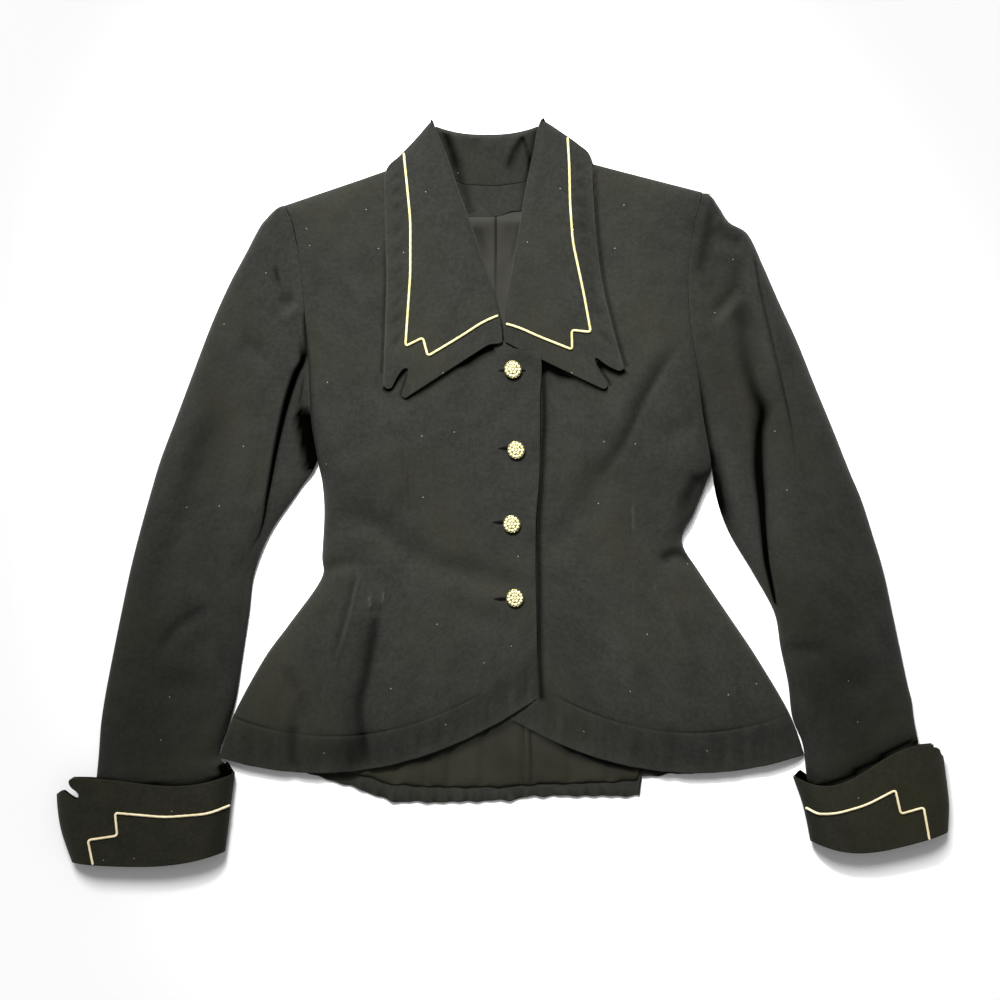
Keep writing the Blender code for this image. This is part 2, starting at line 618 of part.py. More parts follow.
def upper_sleeve_sheet(table, front_table, folds):
    values, inner_z = sleeve_rows(table, front_table)
    lift = cuff_lift(values)
    grid = []
    for row, armhole_z, raised in zip(values, inner_z, lift):
        outer_x, outer_y, inner_x, inner_y, sag, crown, crease, flap = row
        width = math.hypot(outer_x - inner_x, outer_y - inner_y)
        roll = min(SLEEVE_ROLL, SLEEVE_ROLL_SHARE * width)
        flat = np.linspace(roll, width - roll, SLEEVE_FLAT_COLUMNS + 2)[1:-1]
        way = np.concatenate([roll * roll_positions(), flat, width - roll * roll_positions()[::-1]])
        u = way / width
        x = outer_x + (inner_x - outer_x) * u
        y = outer_y + (inner_y - outer_y) * u - 4.0 * sag * u * (1.0 - u)
        from_inner = width - way
        low = smooth((crease + CREASE_WIDTH - from_inner) / (2.0 * CREASE_WIDTH)) if crease > 1.0 else 0.0
        top = crown + (np.minimum(flap, crown) - crown) * low
        edge = EDGE_Z + (armhole_z - EDGE_Z) * smooth(u)
        rise = np.minimum(quarter(way / roll), quarter(from_inner / roll))
        z = edge + (top - edge) * rise - trough_depth(x, y, folds) * rise + raised
        grid.append(np.stack([x, y, z], axis=1))
    return facing_up(np.array(grid))


def make_upper_sleeve(name, table, front_table, folds, cloth):
    sheet = upper_sleeve_sheet(table, front_table, folds)
    floor = EDGE_Z + cuff_lift(sleeve_rows(table, front_table)[0])
    return shell(name, sheet, SLEEVE_CLOTH, cloth, floor[:, None])


def under_sleeve_sheet(table, front_table):
    values, _ = sleeve_rows(table, front_table)
    lift = cuff_lift(values)
    u = np.linspace(0.0, 1.0, UNDER_COLUMNS + 1)
    x = values[:, :1] + (values[:, 2:3] - values[:, :1]) * u
    y = values[:, 1:2] + (values[:, 3:4] - values[:, 1:2]) * u - 4.0 * values[:, 4:5] * u * (1.0 - u)
    z = np.repeat((SLEEVE_CLOTH + lift)[:, None], len(u), axis=1)
    return facing_up(np.stack([x, y, z], axis=2))


def cuff_ring(row):
    """One flattened ring of a cuff: a crowned top with rolled ends, then a flat underside on the table."""
    outer_x, outer_y, inner_x, inner_y, sag, skew, height = row
    width = math.hypot(inner_x - outer_x, inner_y - outer_y)
    roll = CUFF_ROLL * roll_positions()
    flat = np.linspace(CUFF_ROLL, width - CUFF_ROLL, CUFF_FLAT_COLUMNS)[1:-1]
    top = np.concatenate([roll, flat, width - roll[::-1]])
    rise = np.minimum(quarter(top / CUFF_ROLL), quarter((width - top) / CUFF_ROLL))
    top_z = CUFF_SIDE_Z + (height - CUFF_SIDE_Z) * rise
    turn = CUFF_SIDE_Z * roll_positions()[1:]
    base = np.concatenate([width - turn, flat[::-1], turn[::-1]])
    drop = np.minimum(quarter(base / CUFF_SIDE_Z), quarter((width - base) / CUFF_SIDE_Z))
    base_z = CUFF_SIDE_Z * (1.0 - drop)
    u = np.concatenate([top, base]) / width
    x = outer_x + (inner_x - outer_x) * u
    y = outer_y + (inner_y - outer_y) * u - 4.0 * sag * u * (1.0 - u) + skew * np.sin(2.0 * math.pi * u)
    return np.stack([x, y, np.concatenate([top_z, base_z])], axis=1)


def notch_cutter(name, outline):
    """Upright prism of the cloth cut away at a corner; a guide, not a piece."""
    count = len(outline)
    turn = sum(a[0] * b[1] - b[0] * a[1] for a, b in zip(outline, outline[1:] + outline[:1]))
    ring = outline if turn > 0 else outline[::-1]
    points = [(x, y, z) for z in (NOTCH_BASE, NOTCH_TOP) for x, y in ring]
    faces = [tuple(reversed(range(count))), tuple(range(count, 2 * count))]
    for i in range(count):
        j = (i + 1) % count
        faces.append((i, j, count + j, count + i))
    cutter = mesh_object(name, points, faces, material("guide", CLOTH_COLOUR, 0.9))
    cutter.hide_render = True
    cutter.display_type = "WIRE"
    return cutter


def cut_notch(piece, outline):
    modifier = piece.modifiers.new("notch", "BOOLEAN")
    modifier.operation = "DIFFERENCE"
    modifier.solver = "EXACT"
    modifier.object = notch_cutter(piece.name + "_notch", outline)


def make_cuff(name, table, notch, cloth):
    values = columns_of(table, "outer_x", "outer_y", "inner_x", "inner_y", "sag", "skew", "height")
    rings = np.array([cuff_ring(row) for row in along(values, row_positions(len(values), CUFF_STEPS))])
    highest = int(np.argmax(rings[0, :, 2]))
    if grid_normals(rings, ring=True)[:, highest, 2].mean() < 0:
        rings = rings[:, ::-1]
    cuff = shell(name, rings, CUFF_CLOTH, cloth, ring=True)
    cut_notch(cuff, notch)
    return cuff


def surface_of(*pieces):
    """Search tree of the finished surfaces of some pieces, in metres."""
    bpy.context.view_layer.update()
    depsgraph = bpy.context.evaluated_depsgraph_get()
    points = []
    faces = []
    for piece in pieces:
        mesh = piece.evaluated_get(depsgraph).to_mesh()
        start = len(points)
        points.extend(tuple(vertex.co) for vertex in mesh.vertices)
        faces.extend(tuple(start + i for i in polygon.vertices) for polygon in mesh.polygons)
    return BVHTree.FromPolygons(points, faces)


def height_on(tree, x, y):
    """Height of the topmost cloth at a place, or None beyond its edge; all in millimetres."""
    above = Vector((x * MM, y * MM, 1.0))
    hit = tree.ray_cast(above, Vector((0.0, 0.0, -1.0)))[0]
    return None if hit is None else hit.z / MM


def make_wing(name, table, notch, fronts, cloth):
    """Collar wing from its rolled edge at the neck to its outer edge, lying on the front."""
    values = columns_of(table, "roll_x", "roll_y", "edge_x", "edge_y", "roll_z", "edge_z", "lip")
    tree = surface_of(*fronts)
    grid = []
    for row in values:
        roll_x, roll_y, edge_x, edge_y, roll_z, edge_z, lip_drop = row
        width = math.hypot(edge_x - roll_x, edge_y - roll_y)
        lip = min(WING_LIP_WIDTH, WING_LIP_SHARE * width)
        fall = np.linspace(lip, width, WING_FALL_COLUMNS + 1)[1:]
        way = np.concatenate([lip * roll_positions()[[0, 2, 3]], fall])
        u = way / width
        x = roll_x + (edge_x - roll_x) * u
        y = roll_y + (edge_y - roll_y) * u
        z = roll_z + (edge_z - roll_z) * u ** WING_FALL_POWER
        z -= lip_drop * (1.0 - quarter(way / lip))
        for i in range(len(z)):
            floor = height_on(tree, x[i], y[i])
            if floor is not None:
                z[i] = max(z[i], floor + WING_CLEARANCE)
        grid.append(np.stack([x, y, z], axis=1))
    wing = shell(name, facing_up(np.array(grid)), COLLAR_CLOTH, cloth)
    cut_notch(wing, notch)
    return wing


def make_collar_back(cloth):
    """Stand and fall behind the neck, folded like a hairpin over the back's neck edge."""
    t = np.linspace(0.0, 1.0, COLLAR_BACK_COLUMNS)
    top = columns_of(BACK_TOP, "x", "y")
    fold_x = COLLAR_FOLD_ENDS[0] + (COLLAR_FOLD_ENDS[1] - COLLAR_FOLD_ENDS[0]) * t
    fold_y = COLLAR_FOLD_Y + COLLAR_FOLD_RISE * np.abs(2.0 * t - 1.0) ** COLLAR_FOLD_POWER
    seam_x = COLLAR_SEAM_ENDS[0] + (COLLAR_SEAM_ENDS[1] - COLLAR_SEAM_ENDS[0]) * t
    seam_y = np.interp(seam_x, top[:, 0], top[:, 1]) + COLLAR_SEAM_GAP
    fall_x = COLLAR_FALL_ENDS[0] + (COLLAR_FALL_ENDS[1] - COLLAR_FALL_ENDS[0]) * t
    fall_y = np.full_like(t, COLLAR_FALL_Y)
    grid = []
    for row in COLLAR_HAIRPIN:
        from_x = seam_x if row.part == "stand" else fall_x
        from_y = seam_y if row.part == "stand" else fall_y
        x = from_x + (fold_x - from_x) * row.share - COLLAR_END_SLANT * row.setback * (2.0 * t - 1.0)
        y = from_y + (fold_y - from_y) * row.share - row.setback
        at_end = np.abs(2.0 * t - 1.0) ** 2 if row.part == "fold" else np.zeros_like(t)
        grid.append(np.stack([x, y, row.z * (1.0 + COLLAR_END_RISE * at_end)], axis=1))
    sheet = np.array(grid)
    if grid_normals(sheet)[-1, :, 2].mean() < 0:
        sheet = sheet[:, ::-1]
    return shell("collar_back", sheet, FALL_CLOTH, cloth)


def rounded_route(points):
    """Route with its corners turned on a short curve, and a point every step."""
    points = [np.array(point, dtype=float) for point in points]
    route = [points[0]]
    for before, corner, after in zip(points, points[1:], points[2:]):
        into = (before - corner) / np.linalg.norm(before - corner)
        out = (after - corner) / np.linalg.norm(after - corner)
        reach = PIPING_CORNER if np.dot(into, out) > PIPING_STRAIGHT else 0.0
        start = corner + into * reach
        end = corner + out * reach
        route.extend([start, 0.25 * start + 0.5 * corner + 0.25 * end, end] if reach else [corner])
    route.append(points[-1])
    dense = [route[0]]
    for start, end in zip(route, route[1:]):
        pieces = max(1, round(np.linalg.norm(end - start) / PIPING_STEP))
        dense.extend(start + (end - start) * k / pieces for k in range(1, pieces + 1))
    return np.array(dense)


def make_piping(name, outline, under, finish):
    """Round cord laid on a cloth piece along a route seen from above."""
    radius = 0.5 * PIPING_DIAMETER
    tree = surface_of(under)
    beside = [(dx, dy) for dx in (-radius, 0.0, radius) for dy in (-radius, 0.0, radius)]
    middle = []
    for x, y in rounded_route(outline):
        around = [height_on(tree, x + dx, y + dy) for dx, dy in beside]
        top = max(height for height in around if height is not None)
        middle.append((x, y, top + radius + SEAM_GAP))
    middle = np.array(middle)
    run = np.gradient(middle, axis=0)
    run /= np.linalg.norm(run, axis=1, keepdims=True)
    aside = np.cross(run, (0.0, 0.0, 1.0))
    aside /= np.linalg.norm(aside, axis=1, keepdims=True)
    upward = np.cross(aside, run)
    angle = 2.0 * math.pi * np.arange(PIPING_SIDES) / PIPING_SIDES
    rings = middle[:, None] + radius * (
        np.cos(angle)[None, :, None] * aside[:, None] + np.sin(angle)[None, :, None] * upward[:, None]
    )
    count = len(middle)
    faces = []
    for i in range(count - 1):
        for j in range(PIPING_SIDES):
            k = (j + 1) % PIPING_SIDES
            here = i * PIPING_SIDES
            there = here + PIPING_SIDES
            faces.append((here + j, there + j, there + k, here + k))
    faces.append(tuple(range(PIPING_SIDES)))
    faces.append(tuple(reversed(range((count - 1) * PIPING_SIDES, count * PIPING_SIDES))))
    return mesh_object(name, rings.reshape(-1, 3), faces, finish)


def make_button(name, place, under, finish):
    """Domed round button on the right front, turned about its middle."""
    radius = 0.5 * BUTTON_DIAMETER
    tree = surface_of(under)
    x, y = place
    turn = 2.0 * math.pi / BUTTON_SIDES
    ring = [(radius * math.cos(i * turn), radius * math.sin(i * turn)) for i in range(BUTTON_SIDES)]
    base = max(height_on(tree, x + dx, y + dy) for dx, dy in ring + [(0.0, 0.0)]) + SEAM_GAP
    points = [(x + r * dx, y + r * dy, base + z) for r, z in BUTTON_PROFILE for dx, dy in ring]
    faces = [tuple(reversed(range(BUTTON_SIDES)))]
    for start in range(0, len(points) - BUTTON_SIDES, BUTTON_SIDES):
        for j in range(BUTTON_SIDES):
            k = (j + 1) % BUTTON_SIDES
            above = start + BUTTON_SIDES
            faces.append((start + j, start + k, above + k, above + j))
    faces.append(tuple(range(len(points) - BUTTON_SIDES, len(points))))
    return mesh_object(name, points, faces, finish)


def build():
    for old in list(bpy.data.objects):
        bpy.data.objects.remove(old, do_unlink=True)
    cloth = material("wool_cloth", CLOTH_COLOUR, 0.9)
    lining = material("satin_lining", LINING_COLOUR, 0.5)
    cord = material("cream_cord", PIPING_COLOUR, 0.5)
    stones = material("button_stones", BUTTON_COLOUR, 0.25, 0.6)

    make_back(cloth)
    lay_on_back("back_lining", LINING_SIDES, LINING_ROWS, LINING_CLOTH, lining)
    lay_on_back("back_neck_facing", FACING_SIDES, FACING_ROWS, FACING_CLOTH, cloth)
    right = make_front("front_right", RIGHT_FRONT, RIGHT_FRONT_FOLDS, False, cloth)
    left = make_front("front_left", LEFT_FRONT, LEFT_FRONT_FOLDS, True, cloth)
    fronts = (right, left)

    sleeves = [
        ("right", RIGHT_SLEEVE, RIGHT_FRONT, RIGHT_SLEEVE_FOLDS),
        ("left", LEFT_SLEEVE, LEFT_FRONT, LEFT_SLEEVE_FOLDS),
    ]
    for side, table, front_table, folds in sleeves:
        make_upper_sleeve("sleeve_" + side + "_upper", table, front_table, folds, cloth)
        shell("sleeve_" + side + "_under", under_sleeve_sheet(table, front_table), SLEEVE_CLOTH, cloth)

    cuff_right = make_cuff("cuff_right", RIGHT_CUFF, RIGHT_CUFF_NOTCH, cloth)
    cuff_left = make_cuff("cuff_left", LEFT_CUFF, LEFT_CUFF_NOTCH, cloth)
    make_piping("cuff_piping_right", RIGHT_CUFF_PIPING, cuff_right, cord)
    make_piping("cuff_piping_left", LEFT_CUFF_PIPING, cuff_left, cord)

    wing_right = make_wing("collar_right", RIGHT_WING, RIGHT_WING_NOTCH, fronts, cloth)
    wing_left = make_wing("collar_left", LEFT_WING, LEFT_WING_NOTCH, fronts, cloth)
    make_collar_back(cloth)
    make_piping("collar_piping_right", RIGHT_WING_PIPING, wing_right, cord)
    make_piping("collar_piping_left", LEFT_WING_PIPING, wing_left, cord)

    for number, place in enumerate(BUTTON_PLACES, start=1):
        make_button("button_" + str(number), place, right, stones)


build()
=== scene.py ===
"""Looks of a tailored peplum jacket lying flat on a pale floor, seen from straight above.

Metres, +Z up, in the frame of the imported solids. Tables are in millimetres, with +X to the right and +Y to
the collar as the camera sees them; the wearer's right side is at -X. Each cloth piece is a fine shell on
the sections of its solid, with the creases, seams and puckers of the worn cloth laid into it.
"""

import math
from collections import namedtuple

import bmesh
import bpy
import numpy as np
from mathutils import Matrix, Vector, noise
from mathutils.bvhtree import BVHTree


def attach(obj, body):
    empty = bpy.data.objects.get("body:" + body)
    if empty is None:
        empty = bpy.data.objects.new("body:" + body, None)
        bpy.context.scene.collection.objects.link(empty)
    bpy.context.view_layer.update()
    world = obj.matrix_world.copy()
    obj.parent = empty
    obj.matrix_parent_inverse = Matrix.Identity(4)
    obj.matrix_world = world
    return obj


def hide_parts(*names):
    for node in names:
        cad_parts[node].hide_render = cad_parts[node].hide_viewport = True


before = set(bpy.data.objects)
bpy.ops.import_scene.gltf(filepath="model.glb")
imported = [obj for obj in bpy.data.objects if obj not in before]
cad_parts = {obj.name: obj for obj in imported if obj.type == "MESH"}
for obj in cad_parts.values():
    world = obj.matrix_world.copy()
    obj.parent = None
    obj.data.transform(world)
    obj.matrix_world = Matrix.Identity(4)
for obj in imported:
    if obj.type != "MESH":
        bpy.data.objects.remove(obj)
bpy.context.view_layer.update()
MM = 0.001

# Cloth walls and gaps, as in the solids
FRONT_CLOTH = 1.8
BACK_CLOTH = 1.6
LINING_CLOTH = 1.0
FACING_CLOTH = 1.3
SLEEVE_CLOTH = 1.6
CUFF_CLOTH = 2.4
COLLAR_CLOTH = 2.0
FALL_CLOTH = 1.6
SEAM_GAP = 0.3
LINING_GAP = 0.4
ARMHOLE_GAP = 0.1
EDGE_Z = BACK_CLOTH + SEAM_GAP
EDGE_ROUND = 0.35

# Lap of the right front over the left one, and the back's rise over the collar's fall
LAP_DROP = 2.7
LAP_START_X = 46.0
LAP_END_X = 72.0
LAP_FLAT = 50.0
LAP_END_Y = 200.0
LAP_FADE = 40.0
NECK_LIFT = FALL_CLOTH + SEAM_GAP
LIFT_START_Y = 212.0
LIFT_FULL_Y = 252.0
LIFT_MIDDLE_X = -13.0
LIFT_FULL_HALF_WIDTH = 94.0
LIFT_END_HALF_WIDTH = 126.0

# How finely the sheets are drawn
ROLL_COLUMNS = 1.0 - np.cos(np.radians(np.linspace(0.0, 90.0, 9)))
SLEEVE_ROLL_COLUMNS = 1.0 - np.cos(np.radians(np.linspace(0.0, 90.0, 30)))
FRONT_ROWS = 11
SIDE_COLUMNS = 60
DART_COLUMNS = 4
LAP_COLUMNS = 72
SLEEVE_ROWS = 8
SLEEVE_COLUMNS = 84
UNDER_COLUMNS = 16
CUFF_ROWS = 10
CUFF_FLAT_COLUMNS = 40
WING_ROWS = 9
WING_FALL_COLUMNS = 40
BACK_FINE_COLUMNS = 260
BACK_FINE_ROWS = 6
BACK_HEM_ROWS = np.linspace(0.0, 0.6, 13)
LINING_COLUMNS = 220
FACING_COLUMNS = 60
FACING_FINE_ROWS = 24
COLLAR_BACK_COLUMNS = 60
COLLAR_BACK_ROWS = 6
CREASE_SAMPLES = 48

# Sections of a front from hem to shoulder. Columns: front_x, front_y, side_x, side_y, sag
RIGHT_FRONT = np.array([
    (33, -189, -262, -244, 37), (31.5, -150, -249, -206, 41), (31, -119, -221, -154, 30),
    (30.5, -97, -197, -121, 18), (30, -74, -168, -80, 5), (30, -51, -167, -58, 0),
    (30.5, -22, -165, -18, 0), (33.3, 12, -167, 10, 0), (34, 48, -171, 30, 0), (34, 85, -177, 71, 0),
    (33, 126.5, -179, 122, 0), (2, 137, -181, 150, 0), (-21, 184, -184, 186, 0), (-40, 232, -188, 218, 0),
    (-58, 278, -193, 246, 0), (-81, 306, -201, 265, 0),
], float)
LEFT_FRONT = np.array([
    (-5, -202, 278, -241.5, 34), (-3, -154, 264, -203, 38), (-7, -119, 234, -152, 28),
    (-8, -97, 212, -119, 16), (-9, -74, 183, -76, 5), (-10, -46, 165, -45, 0), (-11, -21, 176, -20, 0),
    (-12, 12, 188, 10, 0), (-12, 48, 192, 26, 0), (-12, 85, 184, 71, 0), (-10, 129, 177, 124, 0),
    (-3, 142, 172, 154, 0), (20, 184, 170, 191, 0), (34, 232, 172, 223, 0), (46, 278, 177, 253, 0),
    (60, 309, 184, 277, 0),
], float)
# Heights of the same sections. Columns: front, crown, side edge above the back, width of the side's roll
FRONT_HEIGHTS = np.array([
    (13.0, 16.0, 0.0, 22), (14.0, 18.5, 0.0, 25), (15.0, 20.0, 0.0, 26), (15.5, 18.5, 0.0, 24),
    (16.0, 16.0, 0.0, 20), (16.0, 16.0, 0.0, 20), (17.0, 18.5, 0.0, 22), (18.0, 22.5, 0.0, 24),
    (19.0, 26.0, 5.0, 24), (19.5, 28.0, 16.0, 20), (19.5, 27.0, 21.0, 16), (18.0, 26.0, 21.5, 14),
    (15.0, 25.0, 20.5, 14), (13.5, 24.0, 19.5, 14), (12.0, 21.5, 17.0, 14), (12.0, 21.5, 16.5, 14),
])
UNDERARM_ROW = 8
YOKE_ROW = 14
CROWN_SPAN = 0.45
SHOULDER_ROLL = np.sin(np.radians((18.0, 36.0, 54.0, 72.0, 90.0)))
WING_EDGE_ROWS = np.arange(303, 388) / 33.0
# Hem: it lies lower than the solid's, with a thin dark row of stitches at section 1 and double cloth below
# it, whose upper edge is soft where no stitches show; the stitches come and go along the hem
HEM_DROP = 0.45
HEM_DROP_REACH = 1.3
HEM_FLOOR = 6.4
HEM_LINE_ROWS = 1.0 + np.array((-0.09, -0.06, -0.035, -0.015, 0.0, 0.015, 0.035))
HEM_LINE_WIDTH = 0.02
HEM_LINE_DEPTH = 0.35
HEM_LINE_DARK = 0.5
HEM_LINE_FADE = 18.0
HEM_LINE_BREAK = 0.35
HEM_LINE_BREAK_SIZE = 19.0
HEM_BAND = 0.5
HEM_BAND_END = 0.93
HEM_BAND_STEP = 0.06
HEM_BAND_EASE = 1.2
# Puckers of the hem: where they are deepest as a section, how far they reach from there, depth and painted
# shade
HEM_MIDDLE = 0.5
HEM_BAND_PUCKER = 1.7
HEM_PUCKER_SPAN = 0.42
HEM_BAND_DARK = 0.22
HEM_DARK_SPAN = 0.38
HEM_DARK_RATE = 1.7
HEM_EDGE_WAVE = 0.5
HEM_EDGE_REACH = 0.6
PUCKER_SHIFT = 31.0
EDGE_SHIFT = 17.0
# Waves of a puckered hem: lengths, turns of the last two, share of the third and swing of all
WAVE_LENGTHS = (3.1, 11.7, 5.3)
WAVE_TURNS = (0.8, 2.0)
WAVE_THIRD = 0.6
WAVE_SWING = 0.31
# Waist darts: the heights between which the sewn line shows, half width and depth of its groove
DART_TOP_Y = 60.0
DART_END_Y = -150.0
DART_FADE = 40.0
DART_HALF_WIDTH = 1.6
DART_DEPTH = 0.45

# Soft troughs, negative depth for a ridge: half width, depth, fades, route in plan and lean to one side
Crease = namedtuple("Crease", "name width depth fade_in fade_out route lean", defaults=(0.0,))
RIGHT_FRONT_CREASES = [
    Crease("released dart", 4.5, 5.4, 0.1, 0.02,
           [(-114, -108), (-117.5, -132), (-122.5, -155), (-125, -171), (-130, -191), (-131, -203),
            (-129.5, -218), (-127, -234), (-126, -290)], 0.2),
    Crease("released dart", 15, 2.5, 0.3, 0.02, [(-116, -100), (-121, -150), (-131, -204), (-126, -290)]),
    Crease("pucker sides", 2.0, -1.6, 0.3, 0.3, [(-124, -90), (-123, -98), (-121, -105)]),
    Crease("pucker sides", 2.0, -1.9, 0.3, 0.3, [(-110, -86), (-110, -95), (-112, -104)]),
    Crease("pucker", 2.6, 2.2, 0.3, 0.3, [(-122, -107), (-116, -108), (-110, -107)]),
    Crease("hip dart", 2.4, 1.5, 0.2, 0.4,
           [(-134.5, -72), (-141.5, -98), (-147.5, -122), (-154, -144), (-160, -168)], 0.3),
    Crease("hip dart ridge", 2.8, -1.5, 0.2, 0.25,
           [(-130.5, -71), (-137.5, -99.5), (-143.5, -124), (-150, -146), (-157, -170)], 0.3),
    Crease("hem fold", 6, 3.6, 0.4, 0.02, [(-188, -192), (-193, -225), (-193, -285)], -0.2),
    Crease("hem fold", 7, 1.6, 0.5, 0.02, [(-158, -204), (-160, -280)], 0.2),
    Crease("hem fold", 9, 1.6, 0.5, 0.02, [(-92, -170), (-86, -205), (-84, -270)]),
    Crease("waist dart", 9, 1.6, 0.3, 0.3, [(-88, 20), (-88, -60), (-86, -140)]),
    Crease("bust drag", 13, 4.6, 0.15, 0.15,
           [(-163, -13), (-118, -32), (-88, -54), (-59, -69), (-34, -74), (-4, -82), (22, -92)]),
    Crease("side light", 24, -2.4, 0.3, 0.3, [(-140, 40), (-126, 6), (-92, -14)]),
    Crease("side pucker", 4.5, 2.0, 0.3, 0.4, [(-200, -160), (-192, -174), (-187, -186)], 0.3),
    Crease("side waist", 7, 2.4, 0.2, 0.6, [(-166, -72), (-142, -66), (-116, -72)]),
    Crease("below the button", 12, 1.8, 0.4, 0.4, [(-60, -100), (-15, -118), (24, -128)]),
    Crease("chest", 24, 2.4, 0.4, 0.4, [(-150, 120), (-110, 96), (-60, 88)]),
    Crease("lap corner", 11, -4.8, 0.3, 0.3, [(-4, 139), (16, 133), (33, 126), (40, 106)]),
]
LEFT_FRONT_CREASES = [
    Crease("bust drag", 6, 3.2, 0.35, 0.3,
           [(178, 156), (157, 128), (143, 106), (130, 84), (114, 48), (100, 26), (82, 8)], 0.3),
    Crease("bust drag", 17, 4.6, 0.35, 0.3,
           [(122, 60), (104, 22), (86, 3), (68, -25), (56, -47), (46, -70)]),
    Crease("bust ridge", 12, -2.4, 0.3, 0.3, [(152, 146), (126, 112), (108, 80), (92, 44)]),
    Crease("waist dart", 9, 1.6, 0.3, 0.3, [(118, 40), (118, -30), (118, -90)]),
    Crease("hip dart", 2.6, 0.9, 0.2, 0.4, [(147, -79), (157, -105), (167, -131), (178, -168)], -0.3),
    Crease("hip dart ridge", 3.6, -1.3, 0.3, 0.4,
           [(142, -76), (153, -105), (163, -131), (174, -168)], -0.3),
    Crease("side waist dent", 6, 4.4, 0.3, 0.4, [(143, -67), (160, -58), (182, -73)], 0.2),
    Crease("underarm dent", 6, 3.6, 0.3, 0.4, [(182, 16), (174, 0), (162, -22)]),
    Crease("hem fold", 8, 3.6, 0.4, 0.02, [(127, -154), (131, -202), (140, -285)], 0.2),
    Crease("hem fold", 6, 2.6, 0.5, 0.02, [(153, -210), (159, -285)], -0.2),
    Crease("hem fold", 7, 2.2, 0.5, 0.02, [(216, -196), (226, -280)]),
    Crease("hem fold", 7, 1.6, 0.5, 0.02, [(74, -180), (70, -265)]),
    Crease("below the waist", 12, 2.0, 0.4, 0.5, [(86, -92), (88, -140), (82, -190)]),
    Crease("armhole drag", 10, 2.2, 0.3, 0.6, [(182, 66), (150, 54), (118, 62)]),
]
RIGHT_SLEEVE_CREASES = [
    Crease("underarm hole", 5, 9, 0.3, 0.2, [(-183, 80), (-181.5, 66), (-178.5, 48), (-175, 30)]),
    Crease("forearm trough", 14, 4.2, 0.2, 0.35,
           [(-254, 90), (-275, 36), (-287, 3), (-304, -53), (-322, -108), (-332, -150)], 0.2),
    Crease("elbow crease", 7, 4.6, 0.3, 0.4, [(-262, -102), (-300, -126), (-318, -156)], -0.2),
    Crease("forearm dent", 11, 3.0, 0.4, 0.4, [(-316, -170), (-298, -176), (-278, -174)]),
    Crease("cap pucker", 2.6, 2.2, 0.3, 0.3, [(-208.5, 209), (-208, 200), (-205, 188)], 0.3),
    Crease("cap dent", 6, 3.0, 0.4, 0.4, [(-207, 181), (-199, 176), (-190, 180)]),
    Crease("cap ridge", 3.5, -2.2, 0.3, 0.3, [(-208, 160), (-197, 163), (-186, 175)]),
    Crease("upper arm dent", 8, 3.4, 0.4, 0.4, [(-244, 138), (-230, 131), (-214, 114)]),
    Crease("upper arm dent", 9, 2.0, 0.4, 0.4, [(-214, 226), (-226, 204), (-236, 180)]),
    Crease("forearm drag", 11, 2.2, 0.4, 0.4, [(-258, -146), (-270, -196), (-288, -240)]),
    Crease("outer forearm", 10, 2.0, 0.4, 0.4, [(-346, -100), (-350, -150), (-340, -200)]),
]
LEFT_SLEEVE_CREASES = [
    Crease("cap dent", 6, 4.0, 0.2, 0.3, [(193, 266), (189, 236), (183, 210), (180, 196)]),
    Crease("cap dent", 9, 3.4, 0.3, 0.3, [(194, 247), (207, 234), (222, 226)]),
    Crease("cap ridge", 6, -2.4, 0.3, 0.3, [(184, 221), (202, 221), (222, 214)]),
    Crease("upper arm drag", 7, 3.6, 0.3, 0.35, [(218, 212), (213, 186), (203, 171), (188, 153)], 0.2),
    Crease("upper arm ridge", 6, -2.6, 0.3, 0.4, [(222, 184), (209, 168), (194, 152)]),
    Crease("hindarm seam", 1.6, 1.4, 0.1, 0.3,
           [(231, 218), (236, 187), (245, 147), (254, 109), (260, 82), (265, 58), (270, 20)], 0.4),
    Crease("hindarm ridge", 4, -1.6, 0.1, 0.3, [(225, 217), (230, 187), (239, 147), (248, 109), (259, 58)]),
    Crease("elbow crease", 7, 3.6, 0.3, 0.4, [(254, -142), (276, -145), (304, -146)], 0.2),
    Crease("forearm trough", 13, 3.4, 0.3, 0.4, [(292, -20), (316, -80), (331, -146)]),
    Crease("forearm dent", 11, 2.4, 0.4, 0.4, [(300, -172), (322, -180), (346, -174)]),
    Crease("cuff drag", 11, 2.4, 0.4, 0.4, [(286, -176), (298, -216), (318, -244)]),
]
LINING_CREASES = [
    Crease("hem fold", 5, 1.4, 0.4, 0.1, [(-100, -190), (-98, -275)], 0.3),
    Crease("hem fold", 4, 1.6, 0.4, 0.1, [(-70, -180), (-69, -275)], 0.4),
    Crease("hem fold", 5, 1.4, 0.4, 0.1, [(-48, -180), (-50, -275)], -0.3),
    Crease("hem fold", 4, 1.6, 0.4, 0.1, [(-15, -180), (-17, -275)], 0.4),
    Crease("back seam", 2.5, 1.3, 0.1, 0.02, [(18, -150), (19, -280)], 0.5),
    Crease("back seam", 2.5, 1.3, 0.1, 0.02, [(25, -150), (26, -280)], -0.5),
    Crease("hem fold", 5, 1.5, 0.4, 0.1, [(62, -190), (64, -275)], 0.3),
    Crease("hem fold", 5, 1.3, 0.4, 0.1, [(98, -190), (97, -275)], -0.3),
    Crease("neck pleat", 0.9, 1.4, 0.02, 0.4, [(-6.4, 262), (-6.4, 220), (-6, 150)], 0.3),
    Crease("neck fold", 8, 1.4, 0.2, 0.5, [(-20, 246), (-18, 210), (-12, 170)]),
    Crease("neck fold", 7, 1.0, 0.2, 0.5, [(8, 248), (6, 214), (2, 180)]),
]
